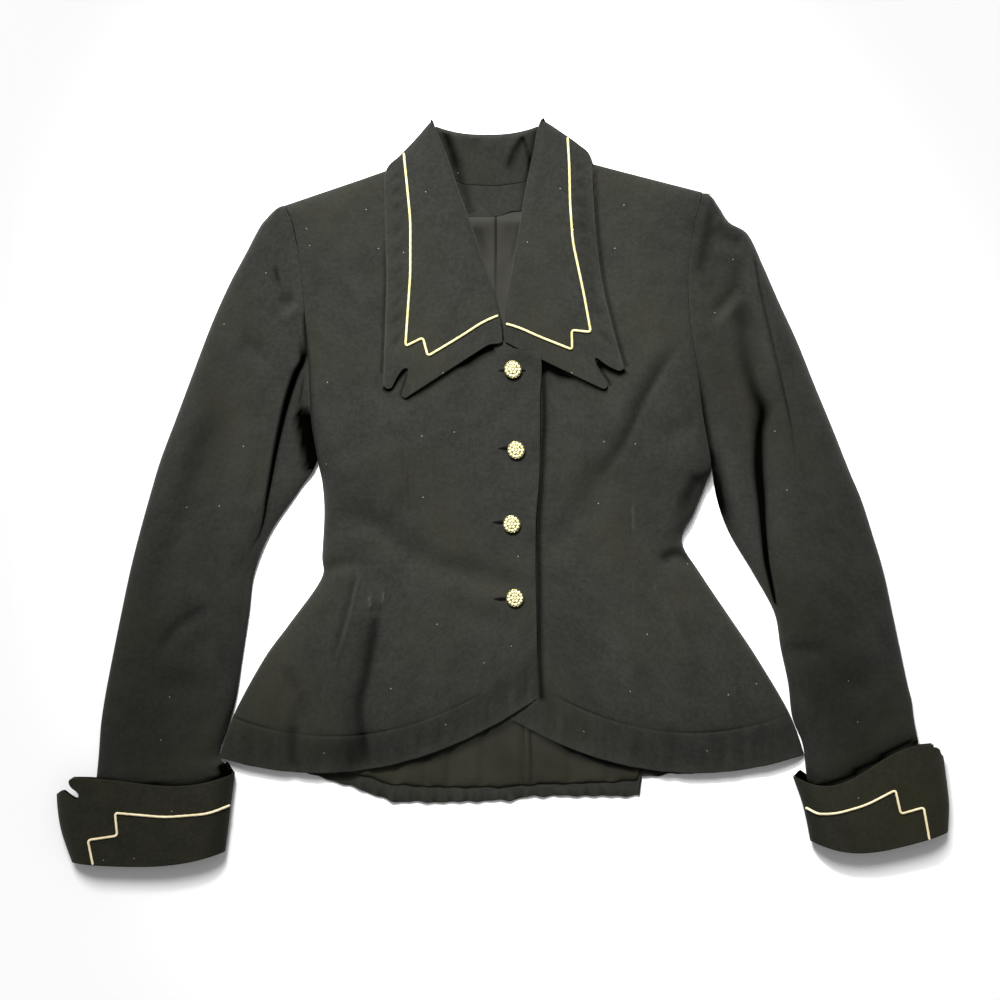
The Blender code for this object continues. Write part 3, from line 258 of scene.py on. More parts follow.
STAND_CREASES = [
    Crease("stand fold", 4, -2.2, 0.1, 0.5, [(18, 334), (12, 316), (5, 294)], 0.5),
    Crease("stand fold", 4, -1.6, 0.1, 0.5, [(-46, 334), (-42, 316), (-38, 296)], -0.4),
    Crease("stand dent", 7, 1.2, 0.3, 0.4, [(-26, 326), (-22, 306)]),
]
# Painted shade deep in folds and painted shadow under edges, as shares of full depth along the same kind of
# routes
RIGHT_FRONT_SHADES = [
    Crease("released dart", 14, 0.22, 0.2, 0.1, [(-121, -108), (-127, -150), (-136, -196), (-136, -256)]),
    Crease("hem", 15, 0.25, 0.3, 0.1, [(-143, -224), (-143, -240), (-142, -270)]),
    Crease("released dart", 4.0, 0.42, 0.15, 0.1,
           [(-114, -106), (-117.5, -132), (-122.5, -155), (-125, -171), (-130, -191), (-131, -203),
            (-129.5, -218), (-127, -234), (-126, -256)], 0.2),
    Crease("hip dart", 1.8, 0.4, 0.2, 0.4,
           [(-134.5, -72), (-141.5, -98), (-147.5, -122), (-154, -144), (-160, -168)]),
    Crease("hem fold", 4, 0.35, 0.3, 0.2, [(-190, -212), (-193, -225), (-192, -256)]),
    Crease("armhole edge", 2.2, 0.6, 0.2, 0.2,
           [(-181, 160), (-179, 122), (-177.5, 90), (-175.5, 60), (-171, 32), (-167, 10)]),
    Crease("pucker", 1.6, 0.4, 0.2, 0.2, [(-122, -108), (-116, -109), (-110, -107)]),
    Crease("under the wing", 2.4, 0.9, 0.05, 0.05,
           [(-90, 85.5), (-72, 95), (-59, 103.6), (-37, 118), (-20, 129.5), (-4, 135.5)]),
    Crease("under the wing", 5.0, 0.8, 0.3, 0.1, [(-42, 113.4), (-22, 127), (-8, 134)]),
    Crease("beside the wing", 1.6, 0.45, 0.2, 0.1,
           [(-109.6, 240), (-108.6, 196), (-109.6, 159), (-110.6, 128), (-111.6, 106)]),
    Crease("wing notch", 2.0, 1.1, 0.05, 0.1,
           [(-88.6, 113), (-95.6, 105), (-101.4, 96.5), (-106, 93.6), (-110.5, 97)]),
    Crease("wing notch", 1.1, 0.6, 0.1, 0.1, [(-87.8, 110), (-90.6, 100), (-94, 90.5), (-91, 85.6)]),
    Crease("side pucker", 4.5, 0.22, 0.3, 0.4, [(-203, -154), (-193, -173), (-184, -190), (-178, -206)]),
]
LEFT_FRONT_SHADES = [
    Crease("bust drag", 4, 0.24, 0.3, 0.4,
           [(156, 134), (142, 112), (128, 84), (114, 55), (101, 35), (90, 20)], 0.3),
    Crease("bust drag", 11, 0.10, 0.3, 0.3,
           [(173, 156), (153, 131), (139, 109), (126, 87), (110, 51), (95, 29), (77, 11), (59, -18),
            (48, -40)]),
    Crease("under the wing", 2.6, 0.9, 0.02, 0.1,
           [(30, 121), (34, 119), (52, 110.5), (68, 104), (90, 94.6), (96, 95)]),
    Crease("beside the wing", 1.9, 0.6, 0.1, 0.05,
           [(84.5, 300), (85, 278), (88, 237), (93, 195), (101, 158), (109, 128), (113.5, 114)]),
    Crease("under the wing", 4.5, 0.8, 0.02, 0.4, [(33, 117), (42, 113.5), (54, 107.5), (66, 102)]),
    Crease("wing notch", 3.4, 1.2, 0.05, 0.1,
           [(85.6, 121), (92, 116.4), (99, 112.6), (107, 109.6), (113, 113)]),
    Crease("wing notch", 1.4, 0.8, 0.1, 0.1, [(86, 119.5), (91.4, 110), (97.2, 101.6), (98.4, 97)]),
    Crease("underarm drag", 3, 0.12, 0.3, 0.3, [(172, 82), (169, 56), (168, 34)]),
    Crease("below the waist", 18, 0.10, 0.3, 0.3, [(52, -104), (62, -150), (84, -206)]),
    Crease("hip", 6, 0.12, 0.3, 0.3, [(160, -110), (170, -136), (184, -176)]),
    Crease("side waist dent", 5, 0.45, 0.3, 0.4, [(144, -64), (160, -54), (182, -69)]),
    Crease("underarm", 6, 0.5, 0.2, 0.4, [(181, 17), (174, 6), (168, -8), (163, -26)]),
    Crease("under the lap", 3.1, 0.8, 0.05, 0.05,
           [(36.6, 125), (37.2, 100), (37.8, 66), (36.8, 48), (35.5, 12), (33, -22), (32.5, -51), (33, -74),
            (33, -110), (33.5, -150), (35, -182), (35.4, -193)]),
]
RIGHT_SLEEVE_SHADES = [
    Crease("underarm hole", 7.0, 2.6, 0.2, 0.1,
           [(-183.5, 78), (-182.5, 68), (-179, 50), (-176, 33), (-172, 20)]),
    Crease("armhole", 2.2, 0.8, 0.3, 0.1, [(-182.5, 170), (-181.5, 148), (-180.5, 121)]),
    Crease("flap edge", 1.2, 0.7, 0.2, 0.3,
           [(-183, 110), (-185.5, 92), (-187, 74), (-186, 60), (-184, 45)]),
    Crease("forearm trough", 15, 0.18, 0.25, 0.4,
           [(-256, 92), (-268, 64), (-278, 39), (-290, 7), (-312, -56)]),
    Crease("inner edge", 2.2, 0.55, 0.2, 0.3,
           [(-222, -50), (-229, -73), (-234, -110), (-240, -150), (-246, -189), (-257, -216), (-263, -242)]),
    Crease("forearm", 44, 0.2, 0.4, 0.3, [(-286, -60), (-312, -150), (-326, -240), (-330, -310)]),
    Crease("cap pucker", 1.8, 0.5, 0.3, 0.3, [(-208.5, 209), (-208, 200), (-205, 188)]),
    Crease("cap dent", 4, 0.3, 0.3, 0.3, [(-207, 182), (-199, 178), (-191, 182)]),
    Crease("cuff corner", 5.0, 1.6, 0.2, 0.1, [(-260, -249), (-256, -256), (-252, -264)]),
    Crease("under the cuff", 2.8, 1.3, 0.1, 0.1,
           [(-398, -262), (-375, -265), (-330, -269), (-290, -269), (-262, -263), (-248, -256)]),
]
LEFT_SLEEVE_SHADES = [
    Crease("inner edge", 6.5, 1.3, 0.3, 0.5, [(192, 44), (195, 16), (199, -2), (205, -25), (214, -46)]),
    Crease("armhole", 2.6, 0.9, 0.4, 0.2, [(174, 146), (180.5, 98), (187, 60), (193, 31), (195, 22)]),
    Crease("forearm", 46, 0.36, 0.4, 0.3, [(276, -50), (292, -140), (318, -220), (340, -300)]),
    Crease("cap dent", 6, 0.4, 0.2, 0.3, [(192, 264), (189, 236), (183, 212), (182, 188)]),
    Crease("cap dent", 7, 0.25, 0.3, 0.3, [(194, 246), (207, 236), (220, 228)]),
    Crease("upper arm drag", 5, 0.26, 0.3, 0.35, [(216, 216), (212, 190), (200, 174), (187, 156)]),
    Crease("upper arm", 12, 0.18, 0.3, 0.3, [(206, 168), (220, 164), (226, 150)]),
    Crease("armhole drag", 4, 0.2, 0.3, 0.3, [(178, 189), (187, 190), (196, 194)]),
    Crease("armhole drag", 3.5, 0.24, 0.2, 0.4, [(176, 142), (184, 141), (194, 142)]),
    Crease("hindarm seam", 1.2, 0.6, 0.05, 0.3,
           [(231, 219), (236, 187), (245, 147), (254, 109), (260, 82), (265, 58), (270, 20)]),
    Crease("under the cuff", 2.4, 1.0, 0.1, 0.1,
           [(403, -229), (372, -231), (336, -250), (304, -267), (284, -269), (268, -260)]),
    Crease("under the cuff", 8, 0.24, 0.1, 0.1,
           [(403, -227), (372, -229), (336, -248), (304, -266), (268, -259)]),
]
LINING_SHADES = [
    Crease("neck pleat", 0.7, 0.8, 0.02, 0.4, [(-6.4, 264), (-6.4, 236), (-6.4, 200)]),
    Crease("neck fold", 4.6, 0.5, 0.1, 0.5, [(-28, 245), (-22, 238), (-18, 226), (-14.6, 208)]),
    Crease("beside the wing", 2.0, 0.35, 0.1, 0.3, [(14, 250), (11.7, 236), (9.5, 226), (6, 208)]),
    Crease("under the left front", 4.5, 1.0, 0.02, 0.2,
           [(12, -207), (38, -223.5), (64, -238), (96, -248), (130, -255)]),
    Crease("under the right front", 4.0, 0.6, 0.1, 0.2,
           [(20, -205), (-20, -226), (-60, -243), (-104, -254)]),
    Crease("hem", 60, 0.32, 0.1, 0.1, [(-150, -262), (0, -266), (150, -262)]),
    Crease("back seam", 1.1, 0.5, 0.1, 0.02, [(18, -190), (19, -290)]),
    Crease("back seam", 1.1, 0.5, 0.1, 0.02, [(25, -190), (26, -290)]),
]
FACING_SHADES = [
    Crease("stand fold", 5.0, 0.5, 0.02, 0.1, [(-38, 286), (-34, 273), (-29.6, 256)]),
    Crease("beside the wing", 2.4, 0.4, 0.02, 0.1, [(21, 286), (18.3, 266), (17, 254)]),
]
STAND_SHADES = [
    Crease("left fold", 5.0, 0.9, 0.05, 0.6, [(-54, 334), (-50.8, 325), (-45.2, 309), (-41.4, 295)]),
    Crease("left fold", 5.4, 0.62, 0.4, 0.05, [(-48.6, 316), (-42, 297), (-38.6, 283)]),
    Crease("beside the wing", 2.4, 0.5, 0.1, 0.02, [(30, 336), (25.5, 308), (22.7, 294), (21, 283)]),
    Crease("right fold", 2.8, 0.7, 0.05, 0.3, [(18.5, 328), (10.8, 317), (6.4, 306), (3.3, 295)]),
    Crease("right fold", 1.6, 0.7, 0.05, 0.3,
           [(18.5, 328), (21.3, 318), (23.6, 310), (24.4, 303), (22.7, 290)]),
]
# Paler marks in the same form: real wear and specks, and painted highlights on the cloth's high places
RIGHT_FRONT_WEAR_AND_HIGHLIGHT = [
    Crease("pucker", 0.9, 0.16, 0.2, 0.2, [(-123.3, -97), (-122, -104)]),
    Crease("pucker", 0.9, 0.12, 0.2, 0.2, [(-121, -105.5), (-112, -104)]),
    Crease("pucker", 0.9, 0.14, 0.2, 0.2, [(-110.2, -92), (-110.5, -103)]),
    Crease("hip dart", 1.6, 0.03, 0.2, 0.3, [(-130.5, -71), (-137.5, -99.5), (-143.5, -124), (-150, -146)]),
    Crease("speck", 0.7, 0.8, 0.3, 0.3, [(-191.5, -189.6), (-191.2, -191)]),
    Crease("speck", 0.7, 0.5, 0.3, 0.3, [(-177, -218.5), (-176.4, -219.6)]),
]
LEFT_FRONT_WEAR_AND_HIGHLIGHT = [
    Crease("hip ridge", 10, 0.014, 0.3, 0.3, [(92, -100), (108, -150), (122, -206)]),
    Crease("hip dart", 3, 0.016, 0.3, 0.3, [(146, -92), (154, -112), (164, -134), (176, -160)]),
    Crease("bust ridge", 9, 0.012, 0.3, 0.3, [(138, 124), (118, 86), (98, 50)]),
    Crease("dart", 1.2, 0.04, 0.2, 0.2, [(119.4, -11), (119.4, -36)]),
    Crease("waist", 2.6, 0.05, 0.3, 0.3, [(138, -87), (138.6, -89)]),
]
RIGHT_SLEEVE_WEAR_AND_HIGHLIGHT = [
    Crease("forearm ridge", 13, 0.016, 0.3, 0.3, [(-228, 84), (-246, 24), (-256, -30)]),
    Crease("outer arm", 10, 0.014, 0.3, 0.3, [(-282, 96), (-304, 32), (-320, -30)]),
    Crease("cap ridge", 4, 0.03, 0.3, 0.3, [(-206, 161), (-197, 165), (-186, 176)]),
    Crease("speck", 0.8, 0.5, 0.3, 0.3, [(-209, 168.6), (-209, 167.4)]),
    Crease("speck", 0.7, 0.5, 0.3, 0.3, [(-206, 163.6), (-205.6, 162.6)]),
]
LEFT_SLEEVE_PAINTED_HIGHLIGHTS = [
    Crease("hindarm ridge", 7, 0.022, 0.2, 0.3,
           [(224, 230), (231, 187), (239, 147), (249, 109), (258, 76)]),
    Crease("inner arm", 11, 0.018, 0.3, 0.3, [(192, 96), (203, 44), (213, 4), (221, -40)]),
    Crease("outer arm", 12, 0.014, 0.3, 0.3, [(248, 60), (253, 0), (258, -52)]),
    Crease("drag ridge", 5, 0.022, 0.3, 0.3, [(222, 184), (209, 170), (190, 156)]),
]
UNEVEN_SIZE = 46.0
UNEVEN_HEIGHT = 0.7
RIPPLE_SIZE = 15.0
RIPPLE_HEIGHT = 0.22

# Back: hem line, and neck and shoulder line, from the wearer's right to the left. Columns: x, y
BACK_HEM = np.array([
    (-262, -244), (-187, -257), (-128, -275), (-104, -285), (-60, -286), (5, -284), (30, -280), (126, -280),
    (127, -262), (218, -256), (278, -241.5),
], float)
BACK_TOP = np.array([
    (-201, 265), (-81, 306), (-60, 295), (-37, 284), (-7, 282), (22, 286), (42, 297), (60, 309), (184, 277),
], float)
HEM_STEP = (0.7261, 0.728)
BACK_PUCKER = 1.7
BACK_PUCKER_REACH = 0.45
BACK_PUCKER_START = 0.05
BACK_PUCKER_FADE = 0.1
BACK_HEM_WAVE = 2.4
BACK_WAVE_SHIFT = 7.0
# Painted shade in the hem's puckers, and how fast it comes and goes along the hem
BACK_HEM_DARK = 0.6
BACK_DARK_RATE = 2.1
# Lining: its reach over the back in shares across and in sections, its rise and the bag above its hem
LINING_SIDES = (0.035, 0.965)
LINING_ROWS = (0.42, 14.36)
LINING_ROW_RUNS = ((LINING_ROWS[0], 2.0, 34), (2.0, 12.0, 50), (12.0, LINING_ROWS[1], 34))
LINING_SIDE_FADE = 0.06
LINING_EDGE_REACH = 0.05
LINING_RISE = 2.4
LINING_RISE_REACH = 1.5
LINING_HEM_RISE = 1.0
LINING_HEM_WAVE = 2.0
LINING_WAVE_REACH = 0.3
LINING_WAVE_SHIFT = 19.0
LINING_BAG = 0.3
LINING_BAG_ROW = 0.60
LINING_BAG_WIDTH = 0.13
LINING_BAG_LEAST = 0.7
LINING_BAG_WAVE = 0.6
LINING_BAG_SHIFT = 4.0
NECK_PLEAT_COLUMNS = np.linspace(0.494, 0.516, 18)
# Neck facing on the lining: reach, and the rise of its lower edge towards the wearer's left
FACING_SIDES = (0.33, 0.66)
FACING_ROWS = (14.13, 15.02)
FACING_OVERLAP = 0.12
FACING_OVERLAP_FADE = 0.25
FACING_LOWER = 0.4
FACING_LIFT = 0.7
FACING_SIDE_RISE = 4.5
FACING_RISE_START_X = -6.0
FACING_RISE_SPAN = 16.0
FACING_UNEVEN = 0.3
FACING_UNEVEN_SIZE = 14.0
FACING_SEED = 5.0

# Sleeve sections from cap to cuff. Columns: outer_x, outer_y, inner_x, inner_y, sag, crown
RIGHT_SLEEVE = np.array([
    (-204, 264.5, -201, 264.5, 0, 5), (-210, 261, -200, 261, 0, 14), (-218, 253, -197, 254, 0, 17.5),
    (-225, 244, -195, 246, 0, 19), (-237, 221, -190, 219, 0, 21), (-253, 191, -184, 185, 0, 22),
    (-269, 155, -181, 150, 0, 23), (-285, 113, -179, 111, 0, 24), (-301, 70, -177, 71, 0, 24),
    (-316, 30, -172, 30, 0, 23), (-325, 0, -188, 2, 0, 22), (-335, -36, -214, -36, 0, 21),
    (-344, -72, -229, -73, 0, 20), (-352, -110, -234, -110, 0, 20), (-360, -150, -240, -150, 0, 19),
    (-367, -187, -246, -189, 0, 18), (-371, -214, -253.6, -216, 0, 17), (-373, -241, -261.6, -242.5, 0, 16),
    (-375, -264, -252.5, -257, 3, 15), (-379, -296, -264, -294, 5, 14), (-389, -337, -264, -328, 7, 16),
])
LEFT_SLEEVE = np.array([
    (189, 276, 184, 276, 0, 7), (194, 271, 182, 271, 0, 15), (200, 262, 180, 262, 0, 16.5),
    (209, 249, 177, 251, 0, 18.5), (226, 238, 174, 236, 0, 20), (240, 209, 171, 207, 0, 21),
    (254, 177, 170, 173, 0, 23), (271, 140, 173, 138, 0, 24), (287, 100, 179, 100, 0, 24),
    (304, 59, 186, 59, 0, 23), (319, 21, 192, 26, 0, 22), (330, -5, 197, -5, 0, 21),
    (340, -36, 208, -36, 0, 20), (351, -73, 230, -73, 0, 20), (359, -110, 250, -110, 0, 19),
    (366, -143, 256, -143, 0, 19), (373, -176, 263, -176, 0, 18), (377, -192, 266.8, -207, 0, 17),
    (379, -208, 276.4, -232, 0, 16), (382, -225, 280.5, -264, 3, 15), (390, -266, 289, -290, 5, 14),
    (401, -309, 292, -316, 11, 16),
])
# Deep fold beside the underarm, from cuff to cap. Columns: y, x, half width, darkness of its painted shade,
# and the height of the cloth inside of it as a share of the crown
RIGHT_FOLD = np.array([
    (-340, -278, 2.0, 0, 1), (-110, -246, 2.0, 0, 1), (-60, -234, 1.4, 0, 1), (-38, -224, 1.1, 0.3, 0.75),
    (-23, -220, 1.1, 0.6, 0.55), (-4, -217, 1.2, 0.7, 0.45), (17, -213, 1.3, 0.8, 0.4),
    (39, -209, 1.5, 0.85, 0.4), (64, -203.5, 1.8, 0.95, 0.42), (87, -197.5, 2.4, 1, 0.5),
    (111, -189, 2.8, 1, 0.7), (120, -184, 2.8, 0.9, 0.9), (134, -185, 2.4, 0.2, 1), (150, -188, 2.0, 0, 1),
    (200, -196, 2.0, 0, 1), (270, -206, 2.0, 0, 1),
])
LEFT_FOLD = np.array([
    (-330, 306, 3.0, 0, 1), (-116, 256, 2.0, 0, 1), (-104, 251.5, 1.4, 0.5, 0.95),
    (-90, 248.2, 1.8, 0.8, 0.85), (-73, 244.5, 2.2, 0.95, 0.75), (-62, 242.5, 2.4, 1, 0.65),
    (-36, 240, 2.6, 1, 0.55), (-13, 238.5, 3.2, 1, 0.5), (24, 235.5, 4.6, 0.85, 0.5),
    (54, 235.5, 5.0, 0.66, 0.55), (76, 238, 7.0, 0.55, 0.65), (98, 229, 6.0, 0.36, 0.8),
    (131, 221, 7.0, 0.22, 0.95), (170, 218, 7.0, 0.1, 1), (200, 214, 6.0, 0, 1), (280, 190, 3.0, 0, 1),
])
SLEEVE_ROLL = 30.0
SLEEVE_ROLL_SHARE = 0.42
SLEEVE_LEAST_RISE = 0.6
FOLD_REACH = 9.0
FOLD_COLUMNS = 20
FOLD_DEPTH = 9.0
FOLD_DARKNESS = 1.8
FOLD_SHARE = 0.35
FLAP_EASE = 4.0
UNDERARM_FADE = 25.0
CUFF_LIFT = CUFF_CLOTH + SEAM_GAP
CUFF_LIFT_LENGTH = 26.0
ROWS_IN_CUFF = 3

# Cuff rings from mouth to folded end. Columns: outer_x, outer_y, inner_x, inner_y, sag, skew, height, and how
# far the inner layer stands out at the mouth's inner corner, a dark lobe in painted shade
RIGHT_CUFF = np.array([
    (-411, -262, -247, -259, 7.2, 3.6, 25, 13), (-411, -286, -250, -283, 8.5, 3.6, 25, 0),
    (-407, -312, -253, -308, 9, 2, 24, 0), (-397, -341, -256, -331, 8, 1, 22, 0),
])
LEFT_CUFF = np.array([
    (404, -231, 267, -262, 7.5, 9.3, 25, 9), (408, -259, 274, -281, 8, 7.5, 25, 0),
    (411, -287, 279, -300, 10, 5, 24, 0), (410, -313, 283, -321, 13, 2, 22, 0),
])
# Painted shade towards the cuff's end at the body, and how far it reaches
CUFF_DARK = 0.35
CUFF_DARK_REACH = 22.0
CUFF_LOBE_OFF = 8.0
CUFF_LOBE_WIDTH = 5.5
CUFF_ROLL = 24.0
CUFF_SIDE_Z = 8.0
CUFF_INSIDE_Z = 1.0
CUFF_UNEVEN = 0.8

# Collar wings from peak to lower edge. Columns: roll_x, roll_y, edge_x, edge_y, roll_z, edge_z, lip
RIGHT_WING = np.array([
    (-64.5, 343, -68, 341, 8, 3, 3), (-61, 333, -81, 326, 13, 3, 5), (-55, 319, -95, 311.5, 16, 4, 6),
    (-48, 300, -108, 297, 19, 9, 7), (-40, 276, -109, 269, 20, 20, 7), (-30, 249, -108, 232, 21, 25, 7),
    (-20, 219, -107, 196, 21.5, 27, 7), (-11, 192, -108, 159, 22, 28, 6), (-4, 166, -109, 128, 22.5, 29, 2),
    (-1.5, 151, -110, 100, 22.5, 29, 0), (-0.5, 138, -110, 73, 22.5, 29, 0),
])
LEFT_WING = np.array([
    (35, 344, 38, 343, 8, 3, 3), (31, 333, 52, 334, 13, 3, 5), (28, 315, 69, 322, 16, 4, 6),
    (23, 292, 81, 309, 19, 9, 7), (18, 264, 83, 278, 20, 20, 7), (14, 237, 86, 237, 21, 25, 7),
    (9, 212, 91, 195, 21.5, 27, 7), (5, 188, 99, 158, 21.5, 28, 6), (2, 166, 107, 128, 20.5, 29, 2),
    (1.5, 151, 114, 103, 19.4, 29, 0), (2, 138, 122, 80, 18.6, 29, 0),
])
WING_BOW_START = 0.14
WING_BOW_ROW = 8.0
WING_BOW_FADE = 2.0
WING_LIP_WIDTH = 9.0
WING_LIP_SHARE = 0.4
WING_FALL_POWER = 1.5
# How a wing lies on what is below it: clearance, width of the edge that rests, rounds of evening out, and
# how uneven it is away from its edges
WING_CLEARANCE = COLLAR_CLOTH + 2.0 * SEAM_GAP
WING_SINK = 0.3
WING_REST_WIDTH = 26.0
WING_EVEN_ROUNDS = 8
NOTHING_BELOW = -99.0
WING_UNEVEN = 0.35
WING_UNEVEN_SIZE = 30.0
WING_UNEVEN_EDGE = 8.0
WING_UNEVEN_ROLL = 20.0
# Turned edge of a wing: a paler rim along it, a thin line inside the edge, and puckers between it and the
# piping, with painted shade in them
WING_EDGE_PALE = 0.05
WING_PALE_WIDTH = 1.2
WING_LINE_OFF = 6.5
WING_LINE_WIDTH = 1.0
WING_LINE_DEPTH = 0.6
WING_PUCKER_OFF = 11.0
WING_PUCKER_WIDTH = 4.5
WING_PUCKER_DEPTH = 2.0
WING_PUCKER_DARK = 0.22
WING_PUCKER_SLANT = 0.6
WING_PUCKER_LENGTH = 2.8
WING_PUCKER_DRIFT = 1.4
WING_PUCKER_DRIFT_LENGTH = 17.0
WING_PUCKER_FIRST_ROW = 2.5
WING_PUCKER_LAST_ROW = 8.5
WING_PUCKER_FADE = 0.8

# Swallow-tail notches seen from above: the edge that is left, and corners beyond the piece
RIGHT_WING_NOTCH = (
    [(-118, 104.5), (-112, 103.5), (-110.2, 100.5), (-109, 97.3), (-106.5, 95.4), (-103.5, 95.6),
     (-101.6, 97.3), (-98.1, 104.4), (-94.2, 110.6), (-91, 113.6), (-88.2, 114), (-87, 112), (-87.3, 107.5),
     (-89.4, 100.7), (-92, 93.5), (-92.8, 90), (-91.6, 87.6), (-88.8, 86.6), (-86, 86.8), (-80, 84)],
    [(-80, 60), (-118, 60)],
)
LEFT_WING_NOTCH = (
    [(120, 121), (113.5, 119.5), (111.6, 116.5), (110.3, 113.3), (107.2, 111.7), (103.5, 112.6),
     (97, 115.7), (90.5, 120.2), (86.5, 123.2), (84.3, 122.8), (84.7, 119.8), (86.8, 114.6), (90, 108.6),
     (93.7, 103.3), (95.6, 99.6), (95.1, 96.6), (92.4, 95.2), (89.2, 95.6), (84, 92)],
    [(84, 70), (125, 70)],
)
RIGHT_CUFF_NOTCH = (
    [(-390, -255), (-392.5, -261.8), (-395.5, -262.3), (-398.3, -264), (-398.9, -267), (-396.4, -271.2),
     (-392, -274.5), (-389.8, -277.5), (-390.3, -280.5), (-392.5, -281.6), (-395.3, -280.7),
     (-400.9, -276.8), (-404.2, -274.5), (-407.6, -275.1), (-411, -277.5), (-420, -281)],
    [(-425, -281), (-425, -240), (-390, -240)],
)
LEFT_CUFF_NOTCH = (
    [(380, -222), (388, -227.5), (392.4, -229.2), (395, -230.8), (395.6, -233.5), (397, -235.3),
     (400, -235.1), (402, -237.2), (404, -241.5), (412, -248)],
    [(425, -248), (425, -215), (380, -215)],
)
NOTCH_STEPS = 4
NOTCH_HEIGHTS = (-5.0, 60.0)
NOTCH_SHARP = math.radians(50.0)

# Collar behind the neck: fold over the stand, seam and the fall's edge; the hairpin's columns are
# share of the way to the fold, setback from it and height, first of the fall, then of the fold and stand
COLLAR_FOLD_ENDS = (-62.0, 32.0)
COLLAR_FOLD_Y = 330.0
COLLAR_FOLD_RISE = 8.0
COLLAR_FOLD_POWER = 2.5
COLLAR_END_RISE = 0.3
COLLAR_END_DROP = 0.45
COLLAR_DROP_POWER = 6
COLLAR_SEAM_ENDS = (-54.0, 25.0)
COLLAR_SEAM_GAP = 1.5 * SEAM_GAP
COLLAR_FALL_ENDS = (-95.0, 70.0)
COLLAR_FALL_Y = 258.0
COLLAR_FALL = [(0.0, 0.0, 0.0), (0.5, 0.0, 0.0), (1.0, 7.0, 0.0)]
COLLAR_FOLD = [(1.0, 2.2, 1.0), (1.0, 0.0, 3.4), (1.0, 1.8, 5.8)]
COLLAR_STAND = [(1.0, 6.5, 7.0), (0.5, 0.0, 6.6), (0.0, 0.0, 5.3)]
STAND_RAISE = 5.0
STAND_RAISE_POWER = 3
STAND_SHARES = (0.0, 0.0, 0.0, 0.0, 0.5, 0.9, 1.0, 0.45, 0.0)
STAND_FIRST_ROW = 5.0

# Piping: the cord's measures, and its routes seen from above
PIPING_DIAMETER = 2.2
PIPING_SIDES = 14
PIPING_STEP = 0.8
PIPING_CORNER = 3.2
PIPING_CORNER_POINTS = 9
PIPING_STRAIGHT = -0.9
PIPING_EASE = 3.0
PIPING_SEAT = 0.75
PIPING_FOOT = 0.7
PIPING_EVEN = 9
PIPING_END = 0.35
PIPING_PLIES = 3
PIPING_TWIST = 0.9
PIPING_RELIEF = 0.05
RIGHT_WING_PIPING = [
    (-91.5, 313), (-88, 280), (-85, 249), (-85, 201), (-89.5, 134), (-73.5, 142), (-69, 125), (-36, 145),
    (-18, 157), (-4.4, 162.5),
]
LEFT_WING_PIPING = [
    (59.5, 327.5), (61, 300), (61.5, 267), (64, 230), (74, 183), (80.5, 147), (63, 149), (63.5, 131),
    (31, 144), (14, 152), (2.6, 155),
]
RIGHT_CUFF_PIPING = [
    (-251, -287.5), (-271, -295), (-310, -298), (-356, -294), (-354, -315), (-381, -319), (-376.5, -342),
]
LEFT_CUFF_PIPING = [
    (278, -289.5), (289, -295), (305, -295), (333, -287), (360, -273), (365, -295), (386, -289),
    (391.5, -319),
]

# What each side of the jacket is made from; dart_x and stitch_x are where its waist dart lies and its hem
# stitching begins, and bow is how far the lower edge of its wing curves up towards the centre
Side = namedtuple("Side", "name seed front dart_x stitch_x lap_under front_marks sleeve fold sleeve_marks "
                          "cuff cuff_notch cuff_piping wing wing_notch wing_piping bow")
RIGHT = Side(
    name="right", seed=0.0, front=RIGHT_FRONT, dart_x=-86.5, stitch_x=16.0, lap_under=False,
    front_marks=(RIGHT_FRONT_CREASES, RIGHT_FRONT_SHADES, RIGHT_FRONT_WEAR_AND_HIGHLIGHT),
    sleeve=RIGHT_SLEEVE, fold=RIGHT_FOLD,
    sleeve_marks=(RIGHT_SLEEVE_CREASES, RIGHT_SLEEVE_SHADES, RIGHT_SLEEVE_WEAR_AND_HIGHLIGHT),
    cuff=RIGHT_CUFF, cuff_notch=RIGHT_CUFF_NOTCH, cuff_piping=RIGHT_CUFF_PIPING,
    wing=RIGHT_WING, wing_notch=RIGHT_WING_NOTCH, wing_piping=RIGHT_WING_PIPING, bow=6.0,
)
LEFT = Side(
    name="left", seed=1.0, front=LEFT_FRONT, dart_x=118.0, stitch_x=42.0, lap_under=True,
    front_marks=(LEFT_FRONT_CREASES, LEFT_FRONT_SHADES, LEFT_FRONT_WEAR_AND_HIGHLIGHT),
    sleeve=LEFT_SLEEVE, fold=LEFT_FOLD,
    sleeve_marks=(LEFT_SLEEVE_CREASES, LEFT_SLEEVE_SHADES, LEFT_SLEEVE_PAINTED_HIGHLIGHTS),
    cuff=LEFT_CUFF, cuff_notch=LEFT_CUFF_NOTCH, cuff_piping=LEFT_CUFF_PIPING,
    wing=LEFT_WING, wing_notch=LEFT_WING_NOTCH, wing_piping=LEFT_WING_PIPING, bow=0.0,
)
FRONT_SEED = 1.0
SLEEVE_SEED = 3.0
CUFF_SEED = 6.0
WING_SEED = 8.0

# Buttons: places, gilt setting as shares of the radius and heights, and rings of stones
BUTTON_PLACES = [(9, 113), (12, 39), (8, -29), (11, -97)]
BUTTON_DIAMETER = 16.5
BUTTON_SIDES = 48
BUTTON_FEET = 17
SETTING_PROFILE = [
    (0.0, 0.0), (0.90, 0.0), (0.99, 0.6), (1.0, 1.8), (0.96, 2.3), (0.91, 2.1), (0.88, 1.5), (0.5, 2.6),
    (0.0, 3.0),
]
STONE_RINGS = [(0.0, 1), (3.0, 6), (5.95, 13)]
STONE_RADIUS = 1.53
STONE_BASE_Z = 3.1
STONE_DOME = 1.3
STONE_TILT = 0.05
STONE_SPIN = 1.7
STONE_SIDES = 8
STONE_LEVELS = [(0.80, -0.9), (1.0, 0.0), (0.80, 0.55), (0.50, 0.8)]
